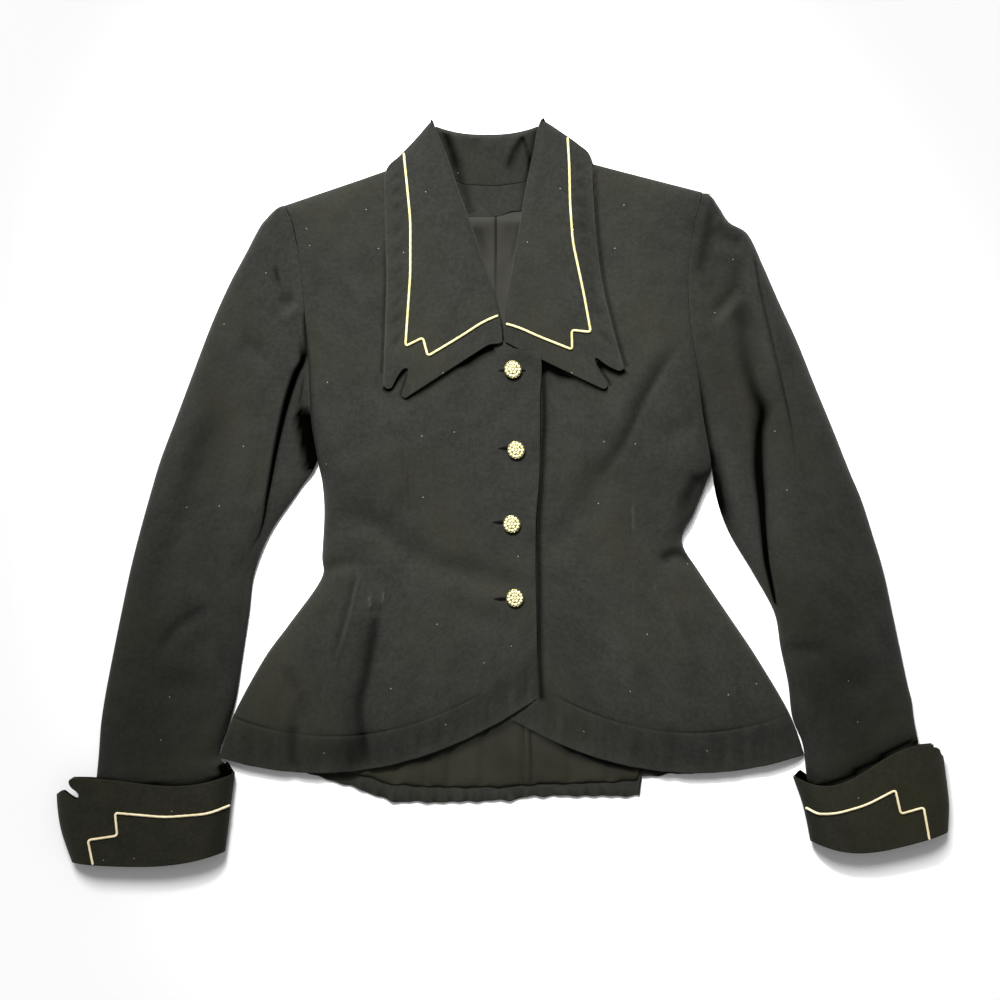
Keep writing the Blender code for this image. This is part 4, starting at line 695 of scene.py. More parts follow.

# Worked buttonholes: left end, right end and height in plan; a dark strip of painted shade for the slit,
# drawn to a point between fine threads, whose columns are share of the length and of the radius
BUTTONHOLES = [(-4.0, 21.0, 112.0), (-4.0, 14.0, 40.5), (-9.5, 10.0, -27.5), (-8.5, 13.0, -98.0)]
STITCH_STEP = 0.7
STITCH_LENGTH = 0.7
STITCH_UNEVEN = 0.2
STITCH_RATE = 2.9
STITCH_RISE = 0.12
STITCH_RADIUS = 0.22
STITCH_SIDES = 6
STITCH_SHAPE = [(0.0, 0.45), (0.2, 1.0), (0.8, 1.0), (1.0, 0.45)]
SLIT_HALF_WIDTH = 1.3
SLIT_POINT = 0.1
SLIT_TAPER = 6.0
SLIT_HEIGHTS = (0.04, 0.3)
SLIT_POINTS = 24

# Flat cut of what shows of each piece of cloth: width and length in metres, area in square metres, what it
# lies on and the pieces sewn on it
Cut = namedtuple("Cut", "node width length area rests_on with_pieces")

# Colours from dark to light; then of cloth in painted shade, and the pale colour of lint, which also paints
# wear and highlights
WOOL = [(0.0094, 0.0097, 0.0079, 1.0), (0.0182, 0.0188, 0.0154, 1.0)]
CUFF_WOOL = [(0.0092, 0.0092, 0.0055, 1.0), (0.0172, 0.0172, 0.0104, 1.0)]
SATIN = [(0.0135, 0.0132, 0.0100, 1.0), (0.0240, 0.0236, 0.0184, 1.0)]
OLIVE_SATIN = [(0.0130, 0.0126, 0.0070, 1.0), (0.0236, 0.0230, 0.0138, 1.0)]
COLLAR_CORD = [(0.50, 0.45, 0.19, 1.0), (0.64, 0.59, 0.27, 1.0)]
CUFF_CORD = [(0.70, 0.58, 0.34, 1.0), (0.88, 0.76, 0.50, 1.0)]
GILT = [(0.14, 0.12, 0.05, 1.0), (0.36, 0.32, 0.14, 1.0)]
STONES = [(0.54, 0.51, 0.28, 1.0), (0.66, 0.63, 0.36, 1.0), (0.78, 0.76, 0.48, 1.0)]
SILK = [(0.003, 0.003, 0.0026, 1.0), (0.011, 0.011, 0.009, 1.0)]
SLIT_SHADE = [(0.001, 0.001, 0.001, 1.0), (0.003, 0.003, 0.003, 1.0)]
FLOOR = [(0.91, 0.91, 0.91, 1.0), (0.94, 0.94, 0.94, 1.0)]
WOOL_IN_SHADE = (0.0006, 0.0005, 0.0003, 1.0)
SATIN_IN_SHADE = (0.0016, 0.0014, 0.0008, 1.0)
LINT_WEAR_AND_HIGHLIGHT = (0.20, 0.20, 0.18, 1.0)
WARM_TINT = (1.02, 0.98, 0.62)
SHEEN_TINT = (0.80, 0.82, 0.74, 1.0)
WOOL_SHINE = 0.18
WOOL_SHEEN = 0.06

# Floor, light, and the camera straight above, framed as the picture: 0.92 mm to a picture point. Columns of
# the lamps: name, kind, place, target, power and other settings
FLOOR_HALF = 12.0
FLOOR_Z = -0.0004
SKY_LIGHT = 0.34
LAMPS = [
    ("window", "SUN", (-0.6, 2.6, 3.0), (0.0, 0.0, 0.0), 2.95, {"angle": math.radians(26.0)}),
    ("key", "SPOT", (-0.35, 1.22, 1.34), (0.005, 0.055, 0.0), 290.0,
     {"shadow_soft_size": 0.11, "spot_size": math.radians(28.0), "spot_blend": 1.0}),
]
FRAME_WIDTH = 0.920
FRAME_MIDDLE = (-0.0028, -0.0069)
CAMERA_HEIGHT = 4.0
CAMERA_REACH = 100.0
FOCUS_Z = 0.014
SENSOR_WIDTH = 36.0


def smooth(t):
    """Ease from 0 to 1."""
    t = np.clip(t, 0.0, 1.0)
    return t * t * (3.0 - 2.0 * t)


def quarter(t):
    """Rise of a quarter round, upright at its start."""
    t = np.clip(t, 0.0, 1.0)
    return np.sqrt(1.0 - (1.0 - t) ** 2)


def bell(t):
    """Soft bump, 1 at its middle."""
    return np.exp(-t ** 2)


def mix(start, end, share):
    """Value at a share of the way from one to another."""
    return start + (end - start) * share


def along(values, v):
    """Smooth curve through the rows of an array, read at row positions v."""
    v = np.asarray(v, dtype=float)
    last = len(values) - 1
    i = np.clip(np.floor(v).astype(int), 0, last - 1)
    t = (v - i)[:, None]
    p0 = values[np.maximum(i - 1, 0)]
    p1 = values[i]
    p2 = values[i + 1]
    p3 = values[np.minimum(i + 2, last)]
    bend = 2 * p0 - 5 * p1 + 4 * p2 - p3
    twist = -p0 + 3 * p1 - 3 * p2 + p3
    return 0.5 * (2 * p1 + (p2 - p0) * t + bend * t ** 2 + twist * t ** 3)


def fine_rows(count, steps):
    """Row positions in a table, with even steps between its rows."""
    return np.linspace(0.0, count - 1.0, (count - 1) * steps + 1)


def joined(*runs):
    """Places of several runs in one sorted run, each once."""
    return np.unique(np.concatenate(runs).round(6))


def spread(start, end, count):
    """Even columns after one place and up to another, for each row."""
    return mix(start, end, np.linspace(0.0, 1.0, count + 1)[1:])


def section_plan(start_x, start_y, end_x, end_y, sag, u):
    """Plan of sections that sag between their two ends, at shares u of the way."""
    return mix(start_x, end_x, u), mix(start_y, end_y, u) - 4.0 * sag * u * (1.0 - u)


def crease_depth(x, y, creases):
    """Depth of all creases at places in plan, measured from the nearest point of each one's smooth route."""
    depth = np.zeros_like(x)
    for crease in creases:
        stops = np.linspace(0.0, len(crease.route) - 1.0, CREASE_SAMPLES)
        path = along(np.array(crease.route, dtype=float), stops)
        start = path[:-1]
        run = np.diff(path, axis=0)
        gap_x = x[..., None] - start[:, 0]
        gap_y = y[..., None] - start[:, 1]
        share = np.clip((gap_x * run[:, 0] + gap_y * run[:, 1]) / np.sum(run ** 2, axis=1), 0.0, 1.0)
        distance = np.hypot(gap_x - share * run[:, 0], gap_y - share * run[:, 1])
        nearest = np.argmin(distance, axis=-1)[..., None]
        off = np.take_along_axis(distance, nearest, axis=-1)[..., 0]
        side = np.take_along_axis(gap_x * run[:, 1] - gap_y * run[:, 0], nearest, axis=-1)[..., 0]
        way = (nearest + np.take_along_axis(share, nearest, axis=-1))[..., 0] / (CREASE_SAMPLES - 1.0)
        fade = smooth(way / crease.fade_in) * smooth((1.0 - way) / crease.fade_out)
        width = crease.width * (1.0 + crease.lean * np.sign(side))
        depth += crease.depth * fade * bell(off / width)
    return depth


def noise_at(x, y, size, seed):
    """Smooth noise between about -1 and 1 over the plan."""
    values = [noise.noise(Vector((a / size, b / size, seed))) for a, b in zip(x.ravel(), y.ravel())]
    return np.array(values).reshape(x.shape)


def uneven(x, y, seed):
    """Slow rise and fall, and finer ripples, of cloth that doesn't lie quite flat."""
    slow = UNEVEN_HEIGHT * noise_at(x, y, UNEVEN_SIZE, seed)
    return slow + RIPPLE_HEIGHT * noise_at(x, y, RIPPLE_SIZE, seed + 0.5)


def hem_waves(x):
    """Uneven puckers along a hem, between 0 and about 1."""
    first, second, third = (x / length for length in WAVE_LENGTHS)
    waves = np.sin(first) * np.sin(second + WAVE_TURNS[0]) + WAVE_THIRD * np.sin(third + WAVE_TURNS[1])
    return 0.5 + WAVE_SWING * waves


def rest_height(x, y):
    """Height of the back above the floor: zero, but over the collar's fall."""
    across = np.abs(x - LIFT_MIDDLE_X)
    span = LIFT_END_HALF_WIDTH - LIFT_FULL_HALF_WIDTH
    rise = smooth((y - LIFT_START_Y) / (LIFT_FULL_Y - LIFT_START_Y))
    return NECK_LIFT * rise * smooth((LIFT_END_HALF_WIDTH - across) / span)


def grid_normals(grid, ring=False):
    """Unit normals of a grid of points; the columns of a ring close on themselves."""
    if ring:
        across = np.roll(grid, -1, axis=1) - np.roll(grid, 1, axis=1)
    else:
        across = np.gradient(grid, axis=1)
    normal = np.cross(across, np.gradient(grid, axis=0))
    return normal / np.maximum(np.linalg.norm(normal, axis=2, keepdims=True), 1e-9)


def facing_up(grid):
    """Grid with its columns turned, where needed, so that its normals point up."""
    if grid_normals(grid[:, :, :3])[:, :, 2].mean() < 0:
        return grid[:, ::-1]
    return grid


def weave_places(grid, ring):
    """Lengths along and across the cloth at each grid point, in metres, for its weave."""
    closed = np.concatenate([grid, grid[:, :1]], axis=1) if ring else grid
    across = np.linalg.norm(np.diff(closed, axis=1), axis=2)
    down = np.linalg.norm(np.diff(closed, axis=0), axis=2).mean(axis=1)
    u = np.concatenate([np.zeros((len(grid), 1)), np.cumsum(across, axis=1)], axis=1)
    u -= u[:, -1:] / 2.0
    v = np.concatenate([[0.0], np.cumsum(down)])
    return np.stack([u, np.repeat(v[:, None], u.shape[1], axis=1)], axis=2) * MM


def link(name, mesh, *finishes):
    """Object of a mesh in the scene, with its finishes."""
    for finish in finishes:
        mesh.materials.append(finish)
    made = bpy.data.objects.new(name, mesh)
    bpy.context.collection.objects.link(made)
    return made


def new_mesh(name, points, faces):
    """Mesh of points in millimetres."""
    mesh = bpy.data.meshes.new(name)
    mesh.from_pydata((np.array(points, dtype=float) * MM).tolist(), [], faces)
    return mesh


def tube_faces(rings, sides):
    """Faces of a tube of rings with flat ends."""
    last = (rings - 1) * sides
    faces = [tuple(range(sides)), tuple(reversed(range(last, last + sides)))]
    for here in range(0, last, sides):
        there = here + sides
        for j in range(sides):
            k = (j + 1) % sides
            faces.append((here + j, there + j, there + k, here + k))
    return faces


def cloth(node_name, sheet, thickness, finish, floor=None, ring=False):
    """Closed shell of cloth: the outer grid, the same grid moved inwards, and rounded edges.

    Beside its points a sheet may carry its painted shade in folds and under edges, and its paler marks
    of real wear and painted highlights, each from 0 to 1.
    """
    outer = sheet[:, :, :3]
    inner = outer - thickness * grid_normals(outer, ring)
    if floor is not None:
        inner[:, :, 2] = np.maximum(inner[:, :, 2], floor)
    rows, cols = outer.shape[:2]
    end = rows - 1
    spans = cols if ring else cols - 1
    weave = weave_places(outer, ring)
    faces = []
    corners = []

    def add(*places):
        faces.append([layer * rows * cols + i * cols + j % cols for i, j, layer in places])
        corners.extend(weave[i, j] for i, j, layer in places)

    for i in range(end):
        for j in range(spans):
            add((i, j, 0), (i, j + 1, 0), (i + 1, j + 1, 0), (i + 1, j, 0))
            add((i, j, 1), (i + 1, j, 1), (i + 1, j + 1, 1), (i, j + 1, 1))
    first_edge_face = len(faces)
    for j in range(spans):
        add((0, j, 0), (0, j, 1), (0, j + 1, 1), (0, j + 1, 0))
        add((end, j, 0), (end, j + 1, 0), (end, j + 1, 1), (end, j, 1))
    if not ring:
        for i in range(end):
            add((i, 0, 0), (i + 1, 0, 0), (i + 1, 0, 1), (i, 0, 1))
            add((i, spans, 0), (i, spans, 1), (i + 1, spans, 1), (i + 1, spans, 0))
    name = node_name + "_cloth"
    mesh = new_mesh(name, np.concatenate([outer.reshape(-1, 3), inner.reshape(-1, 3)]), faces)
    mesh.uv_layers.new(name="weave")
    mesh.uv_layers["weave"].uv.foreach_set("vector", np.array(corners, np.float32).ravel())
    for mark, values in zip(("shade", "lightening"), np.moveaxis(sheet[:, :, 3:], 2, 0)):
        amount = np.clip(np.tile(values.ravel(), 2), 0.0, 1.0)
        mesh.attributes.new(mark, "FLOAT", "POINT").data.foreach_set("value", amount.astype(np.float32))
    round_edges(mesh, first_edge_face, EDGE_ROUND * thickness * MM)
    mesh.shade_smooth()
    return link(name, mesh, finish)


def round_edges(mesh, first_edge_face, radius):
    """Rounds the two rims of the faces that close a shell."""
    work = bmesh.new()
    work.from_mesh(mesh)
    rims = [e for e in work.edges if len({f.index >= first_edge_face for f in e.link_faces}) == 2]
    bmesh.ops.bevel(work, geom=rims, offset=radius, segments=2, profile=0.5, affect="EDGES")
    work.to_mesh(mesh)
    work.free()


def surface_of(*pieces):
    """Search tree of some pieces' surfaces, in metres."""
    points = []
    faces = []
    for piece in pieces:
        start = len(points)
        points.extend(tuple(vertex.co) for vertex in piece.data.vertices)
        faces.extend(tuple(start + i for i in polygon.vertices) for polygon in piece.data.polygons)
    return BVHTree.FromPolygons(points, faces)


def height_on(tree, x, y):
    """Height of the topmost cloth at a place, or None beyond its edge; all in millimetres."""
    hit = tree.ray_cast(Vector((x * MM, y * MM, 1.0)), Vector((0.0, 0.0, -1.0)))[0]
    return None if hit is None else hit.z / MM


def front_rows():
    """Sections at which a front is drawn: even ones, and finer ones at hem, wing and shoulder."""
    even = fine_rows(YOKE_ROW + 1, FRONT_ROWS)
    return joined(even, HEM_LINE_ROWS, WING_EDGE_ROWS, YOKE_ROW + SHOULDER_ROLL)


def front_grid(side):
    """Outer surface of a front, from hem to shoulder and from side edge to centre front."""
    creases, shades, lightening = side.front_marks
    seed = FRONT_SEED + side.seed
    rows = front_rows()
    values = along(np.hstack([side.front, FRONT_HEIGHTS]), rows)
    front_x, front_y, side_x, side_y, sag, front_z, crown, side_z, roll = values.T[:, :, None]
    width = np.hypot(front_x - side_x, front_y - side_y)
    dart = (side.dart_x - side_x) / (front_x - side_x) * width
    dart_start = dart - DART_HALF_WIDTH
    dart_end = dart + DART_HALF_WIDTH
    way = np.hstack([
        roll * ROLL_COLUMNS, spread(roll, dart_start, SIDE_COLUMNS),
        spread(dart_start, dart_end, DART_COLUMNS), spread(dart_end, width, LAP_COLUMNS),
    ])
    x, y = section_plan(side_x, side_y, front_x, front_y, sag, way / width)
    section = np.repeat(rows[:, None], way.shape[1], axis=1)
    top = mix(front_z, crown, smooth((width - way - LAP_FLAT) / (CROWN_SPAN * width)))
    raised = 1.0 - HEM_DROP * (1.0 - smooth(section / HEM_DROP_REACH))
    top = mix(EDGE_Z, top, raised) - raised * crease_depth(x, y, creases) + uneven(x, y, seed)

    sewn = smooth((np.sign(side.dart_x) * x - side.stitch_x) / HEM_LINE_FADE)
    band_edge = HEM_BAND_STEP + HEM_BAND_EASE * (1.0 - sewn)
    top += HEM_BAND * (1.0 - smooth((section - HEM_BAND_END) / band_edge))
    stitches = bell((section - 1.0) / HEM_LINE_WIDTH) * sewn
    stitches *= mix(1.0, np.sin(x / HEM_LINE_BREAK_SIZE + 2.0 * seed), HEM_LINE_BREAK)
    top -= HEM_LINE_DEPTH * stitches
    from_middle = section - HEM_MIDDLE
    top -= HEM_BAND_PUCKER * hem_waves(x + PUCKER_SHIFT * seed) * bell(from_middle / HEM_PUCKER_SPAN)
    at_edge = 1.0 - smooth(section / HEM_EDGE_REACH)
    y = y + HEM_EDGE_WAVE * (hem_waves(x + EDGE_SHIFT * seed) - 0.5) * at_edge
    dart_shows = smooth((DART_TOP_Y - y) / DART_FADE) * smooth((y - DART_END_Y) / DART_FADE)
    top -= DART_DEPTH * dart_shows * bell((way - dart) / (0.5 * DART_HALF_WIDTH))

    floor = EDGE_Z + rest_height(x, y)
    z = mix(floor + side_z, np.maximum(top, HEM_FLOOR), quarter(way / roll))
    z = mix(floor, z, np.sqrt(1.0 - np.clip(section - YOKE_ROW, 0.0, 1.0) ** 2))
    if side.lap_under:
        below_neck = smooth((LAP_END_Y - y) / LAP_FADE)
        z -= LAP_DROP * below_neck * smooth((LAP_END_X - x) / (LAP_END_X - LAP_START_X))
    # Painted shade in folds, under edges and in the hem's puckers, and the dark row of stitches; then the
    # paler marks, real wear and painted highlights on ridges
    puckers = hem_waves(HEM_DARK_RATE * x + PUCKER_SHIFT * seed) * bell(from_middle / HEM_DARK_SPAN)
    shade = crease_depth(x, y, shades) + HEM_LINE_DARK * stitches + HEM_BAND_DARK * puckers
    return np.stack([x, y, z, shade, crease_depth(x, y, lightening)], axis=2)


def tuck_under(grid, lap):
    """Lowers the places of a front that would come through the front lapped over it."""
    for place in grid.reshape(-1, grid.shape[2]):
        over = height_on(lap, place[0], place[1])
        if over is not None:
            place[2] = min(place[2], over - FRONT_CLOTH - SEAM_GAP)


def make_front(side, grid, finish):
    """Front panel of one side, with its peplum."""
    sheet = facing_up(grid)
    floor = EDGE_Z + rest_height(sheet[:, :, 0], sheet[:, :, 1])
    return cloth("front_" + side.name, sheet, FRONT_CLOTH, finish, floor)


def sagging(right, left, u):
    """A back section's line before the hem or neck line is drawn on it."""
    return mix(right[:, :1], left[:, :1], u) - 2.0 * (right[:, 1:] + left[:, 1:]) * u * (1.0 - u)


def back_grid(u, v):
    """Top surface of the back: u across from the wearer's right, v the section as in the fronts."""
    right = along(RIGHT_FRONT[:, 2:], v)
    left = along(LEFT_FRONT[:, 2:], v)
    x = mix(right[:, :1], left[:, :1], u)
    y = sagging(right[:, 1:], left[:, 1:], u)
    for line, row, reach in ((BACK_HEM, 0, 1.0 - v), (BACK_TOP, -1, v - YOKE_ROW)):
        drawn = np.interp(mix(line[0, 0], line[-1, 0], u), line[:, 0], line[:, 1])
        plain = sagging(RIGHT_FRONT[[row], 3:], LEFT_FRONT[[row], 3:], u)
        y = y + np.clip(reach, 0.0, 1.0)[:, None] * (drawn - plain)
    return np.stack([x, y, rest_height(x, y) + BACK_CLOTH], axis=2)


def make_back(finish):
    """Back panel with a puckered hem, in painted shade among its puckers."""
    u = np.unique(np.concatenate([np.linspace(0.0, 1.0, BACK_FINE_COLUMNS), HEM_STEP]))
    v = joined(fine_rows(len(RIGHT_FRONT), BACK_FINE_ROWS), BACK_HEM_ROWS)
    sheet = back_grid(u, v)
    inside = smooth((u - BACK_PUCKER_START) / BACK_PUCKER_FADE)
    inside = inside * smooth((1.0 - BACK_PUCKER_START - u) / BACK_PUCKER_FADE)
    at_hem = smooth(1.0 - v / BACK_PUCKER_REACH)[:, None] * inside
    sheet[:, :, 2] += BACK_PUCKER * at_hem * hem_waves(sheet[:, :, 0])
    sheet[:, :, 1] += BACK_HEM_WAVE * at_hem * (hem_waves(sheet[:, :, 0] + BACK_WAVE_SHIFT) - 0.5)
    shade = BACK_HEM_DARK * at_hem * hem_waves(BACK_DARK_RATE * sheet[:, :, 0])
    return cloth("back", facing_up(np.dstack([sheet, shade])), BACK_CLOTH, finish)


def make_lining(finish):
    """Lining on the back, bagging a little above its hem, with a pleat at the neck."""
    u = np.unique(np.concatenate([np.linspace(*LINING_SIDES, LINING_COLUMNS), NECK_PLEAT_COLUMNS]))
    v = np.unique(np.concatenate([np.linspace(*run) for run in LINING_ROW_RUNS]))
    sheet = back_grid(u, v)
    x, y = sheet[:, :, 0], sheet[:, :, 1]
    from_hem = (v - LINING_ROWS[0])[:, None]
    bag = LINING_BAG * bell((v[:, None] - LINING_BAG_ROW) / LINING_BAG_WIDTH)
    rise = bag * (LINING_BAG_LEAST + LINING_BAG_WAVE * hem_waves(x + LINING_BAG_SHIFT))
    rise = rise + mix(LINING_HEM_RISE, LINING_RISE, smooth(from_hem / LINING_RISE_REACH))
    rise = rise - crease_depth(x, y, LINING_CREASES)
    inside = smooth((u - LINING_SIDES[0]) / LINING_SIDE_FADE)
    inside = inside * smooth((LINING_SIDES[1] - u) / LINING_SIDE_FADE)
    inside = inside * smooth((FACING_ROWS[0] + FACING_OVERLAP - v) / FACING_OVERLAP_FADE)[:, None]
    inside = inside * smooth(from_hem / LINING_EDGE_REACH)
    sheet[:, :, 2] += LINING_GAP + LINING_CLOTH + np.maximum(rise, 0.0) * inside
    hem_edge = 1.0 - smooth(from_hem / LINING_WAVE_REACH)
    sheet[:, :, 1] += LINING_HEM_WAVE * hem_edge * (hem_waves(x + LINING_WAVE_SHIFT) - 0.5)
    # Painted shade in its folds and seams, beside the wing and under the fronts' hems
    shade = crease_depth(x, y, LINING_SHADES)
    return cloth("back_lining", facing_up(np.dstack([sheet, shade])), LINING_CLOTH, finish)


def make_facing(finish):
    """Wool facing inside the back neck, lying on the lining's upper edge."""
    u = np.linspace(*FACING_SIDES, FACING_COLUMNS)
    v = np.linspace(*FACING_ROWS, FACING_FINE_ROWS)
    sheet = back_grid(u, v)
    x, y = sheet[:, :, 0], sheet[:, :, 1]
    lower = 1.0 - smooth((v - FACING_ROWS[0]) / FACING_LOWER)[:, None]
    sheet[:, :, 1] += lower * FACING_SIDE_RISE * smooth((x - FACING_RISE_START_X) / FACING_RISE_SPAN)
    sheet[:, :, 2] += LINING_GAP + FACING_CLOTH + FACING_LIFT * lower
    sheet[:, :, 2] += FACING_UNEVEN * (1.0 + noise_at(x, y, FACING_UNEVEN_SIZE, FACING_SEED))
    shade = crease_depth(x, y, FACING_SHADES)
    return cloth("back_neck_facing", facing_up(np.dstack([sheet, shade])), FACING_CLOTH, finish)


def sleeve_sections(table, front):
    """Fine sleeve sections, the armhole edge taken from the front's side edge one gap away."""
    values = along(table, fine_rows(len(table), SLEEVE_ROWS))
    armhole = front[front_rows() >= UNDERARM_ROW, 0]
    underarm_y = armhole[0, 1]
    inner_y = values[:, 3]
    on_armhole = inner_y >= underarm_y
    edge_x = np.interp(inner_y, armhole[:, 1], armhole[:, 0]) + np.sign(table[0, 0]) * ARMHOLE_GAP
    values[on_armhole, 2] = edge_x[on_armhole]
    edge_z = np.interp(inner_y, armhole[:, 1], armhole[:, 2])
    below = smooth(1.0 - (underarm_y - inner_y) / UNDERARM_FADE)
    inner_z = np.where(on_armhole, edge_z, mix(EDGE_Z, armhole[0, 2], below))
    mouth_row = len(values) - 1 - (ROWS_IN_CUFF - 1) * SLEEVE_ROWS
    reach = np.hypot(*(values[:, :2] - values[mouth_row, :2]).T)
    before = np.arange(len(values)) < mouth_row
    lift = CUFF_LIFT * np.where(before, smooth(1.0 - reach / CUFF_LIFT_LENGTH), 1.0)
    return values, inner_z[:, None], lift[:, None]


def make_sleeve(side, front, finish):
    """Upper sleeve with its rolled edges and the deep fold at the underarm, and the flat under sleeve."""
    creases, shades, lightening = side.sleeve_marks
    values, inner_z, lift = sleeve_sections(side.sleeve, front)
    outer_x, outer_y, inner_x, inner_y, sag, crown = values.T[:, :, None]
    width = np.hypot(outer_x - inner_x, outer_y - inner_y)
    roll = np.minimum(SLEEVE_ROLL, SLEEVE_ROLL_SHARE * width)
    path = along(side.fold, fine_rows(len(side.fold), SLEEVE_ROWS))
    fold_x, fold_width, dark, flap = [np.interp(inner_y, path[:, 0], path[:, k]) for k in range(1, 5)]
    fold = np.abs(inner_x - fold_x)
    guide = np.minimum(fold, FOLD_SHARE * width)
    reach = np.minimum(FOLD_REACH, 0.5 * guide)
    way = np.hstack([
        roll * SLEEVE_ROLL_COLUMNS,
        spread(roll, width - guide - reach, SLEEVE_COLUMNS),
        spread(width - guide - reach, width - guide + reach, FOLD_COLUMNS),
        (width - (guide - reach) * ROLL_COLUMNS)[:, -2::-1],
    ])
    u = way / width
    x, y = section_plan(outer_x, outer_y, inner_x, inner_y, sag, u)
    from_inner = width - way
    bottom = bell((from_inner - fold) / fold_width)
    inside = smooth(0.5 + (fold - from_inner) / (2.0 * fold_width + FLAP_EASE))
    top = crown * mix(1.0, flap, inside) - FOLD_DEPTH * dark * bottom
    top = top - crease_depth(x, y, creases) + uneven(x, y, SLEEVE_SEED + side.seed)
    rise = np.minimum(quarter(way / roll), quarter(from_inner / roll))
    z = mix(mix(EDGE_Z, inner_z, smooth(u)), top, rise) + lift
    z = np.maximum(z, EDGE_Z + lift + SLEEVE_LEAST_RISE * SLEEVE_CLOTH * rise)
    # Painted shade in the fold and along the sleeve's shade routes; then paler marks, real wear and painted
    # highlights on ridges
    shade = crease_depth(x, y, shades) + FOLD_DARKNESS * dark * bottom
    sheet = facing_up(np.stack([x, y, z, shade, crease_depth(x, y, lightening)], axis=2))
    upper = cloth("sleeve_" + side.name + "_upper", sheet, SLEEVE_CLOTH, finish, EDGE_Z + lift)

    u = np.linspace(0.0, 1.0, UNDER_COLUMNS)
    x, y = section_plan(outer_x, outer_y, inner_x, inner_y, sag, u)
    sheet = facing_up(np.stack([x, y, np.repeat(SLEEVE_CLOTH + lift, len(u), axis=1)], axis=2))
    under = cloth("sleeve_" + side.name + "_under", sheet, SLEEVE_CLOTH, finish)
    return upper, under


def cuff_ring(row):
    """One flattened ring of a cuff: a crowned top with rolled ends, then a flat underside on the floor."""
    outer_x, outer_y, inner_x, inner_y, sag, skew, height, lobe = row
    width = math.hypot(inner_x - outer_x, inner_y - outer_y)
    roll = CUFF_ROLL * ROLL_COLUMNS
    flat = np.linspace(CUFF_ROLL, width - CUFF_ROLL, CUFF_FLAT_COLUMNS)[1:-1]
    top = np.concatenate([roll, flat, width - roll[::-1]])
    rise = np.minimum(quarter(top / CUFF_ROLL), quarter((width - top) / CUFF_ROLL))
    turn = CUFF_SIDE_Z * ROLL_COLUMNS[1:]
    base = np.concatenate([width - turn, flat[::-1], turn[::-1]])
    drop = np.minimum(quarter(base / CUFF_SIDE_Z), quarter((width - base) / CUFF_SIDE_Z))
    u = np.concatenate([top, base]) / width
    x, y = section_plan(outer_x, outer_y, inner_x, inner_y, sag, u)
    y += skew * np.sin(2.0 * math.pi * u)
    y[len(top):] += lobe * bell((width - base - CUFF_LOBE_OFF) / CUFF_LOBE_WIDTH)
    z = np.concatenate([mix(CUFF_SIDE_Z, height, rise), CUFF_SIDE_Z * (1.0 - drop)])
    return np.stack([x, y, z], axis=1)


def cut_away(piece, edge, beyond):
    """Cuts an upright prism of cloth away: a smooth edge on the piece, closed by corners beyond it."""
    ring = np.vstack([along(np.array(edge, dtype=float), fine_rows(len(edge), NOTCH_STEPS)), beyond])
    following = np.roll(ring, -1, axis=0)
    if np.sum(ring[:, 0] * following[:, 1] - following[:, 0] * ring[:, 1]) < 0:
        ring = ring[::-1]
    count = len(ring)
    points = [(x, y, z) for z in NOTCH_HEIGHTS for x, y in ring]
    faces = [tuple(reversed(range(count))), tuple(range(count, 2 * count))]
    faces += [(i, (i + 1) % count, count + (i + 1) % count, count + i) for i in range(count)]
    cutter = link("notch", new_mesh("notch", points, faces))
    modifier = piece.modifiers.new("notch", "BOOLEAN")
    modifier.operation = "DIFFERENCE"
    modifier.solver = "EXACT"
    modifier.object = cutter
    bpy.context.view_layer.update()
    depsgraph = bpy.context.evaluated_depsgraph_get()
    cut = bpy.data.meshes.new_from_object(piece.evaluated_get(depsgraph))
    piece.modifiers.clear()
    piece.data = cut
    piece.data.shade_smooth()
    piece.data.set_sharp_from_angle(angle=NOTCH_SHARP)
    bpy.data.objects.remove(cutter, do_unlink=True)


def make_cuff(side, finish):
    """Turned-back cuff with its swallow-tail notch, in painted shade inside and towards the body."""
    values = along(side.cuff, fine_rows(len(side.cuff), CUFF_ROWS))
    rings = np.array([cuff_ring(row) for row in values])
    highest = int(np.argmax(rings[0, :, 2]))
    if grid_normals(rings, ring=True)[:, highest, 2].mean() < 0:
        rings = rings[:, ::-1]
    on_top = smooth((rings[:, :, 2] - CUFF_SIDE_Z) / CUFF_SIDE_Z)
    rings[:, :, 2] += on_top * CUFF_UNEVEN * uneven(rings[:, :, 0], rings[:, :, 1], CUFF_SEED + side.seed)
    # Painted shade inside the cuff and towards its end at the body
    inside = 1.0 - smooth((rings[:, :, 2] - CUFF_INSIDE_Z) / CUFF_SIDE_Z)
    painted_shade_at_body = 1.0 - smooth(np.abs(rings[:, :, 0] - values[:, 2:3]) / CUFF_DARK_REACH)
    sheet = np.dstack([rings, inside + CUFF_DARK * painted_shade_at_body])
    cuff = cloth("cuff_" + side.name, sheet, CUFF_CLOTH, finish, ring=True)
    cut_away(cuff, *side.cuff_notch)
    return cuff


def laid_on(tree, x, y, z, off):
    """Heights of a wing laid on what is below it, its outer edge touching; off is the way from that edge."""
    heights = [height_on(tree, a, b) for a, b in zip(x.ravel(), y.ravel())]
    below = np.array([NOTHING_BELOW if height is None else height for height in heights]).reshape(x.shape)
    least = below + WING_CLEARANCE
    z = np.maximum(z, least)
    z += (least - z) * smooth(1.0 - off / WING_REST_WIDTH) * (below > 0.0)
    for _ in range(WING_EVEN_ROUNDS):
        beside = z[:-2, 1:-1] + z[2:, 1:-1] + z[1:-1, :-2] + z[1:-1, 2:]
        z[1:-1, 1:-1] = 0.5 * z[1:-1, 1:-1] + 0.125 * beside
        z = np.maximum(z, least - WING_SINK)
    return z


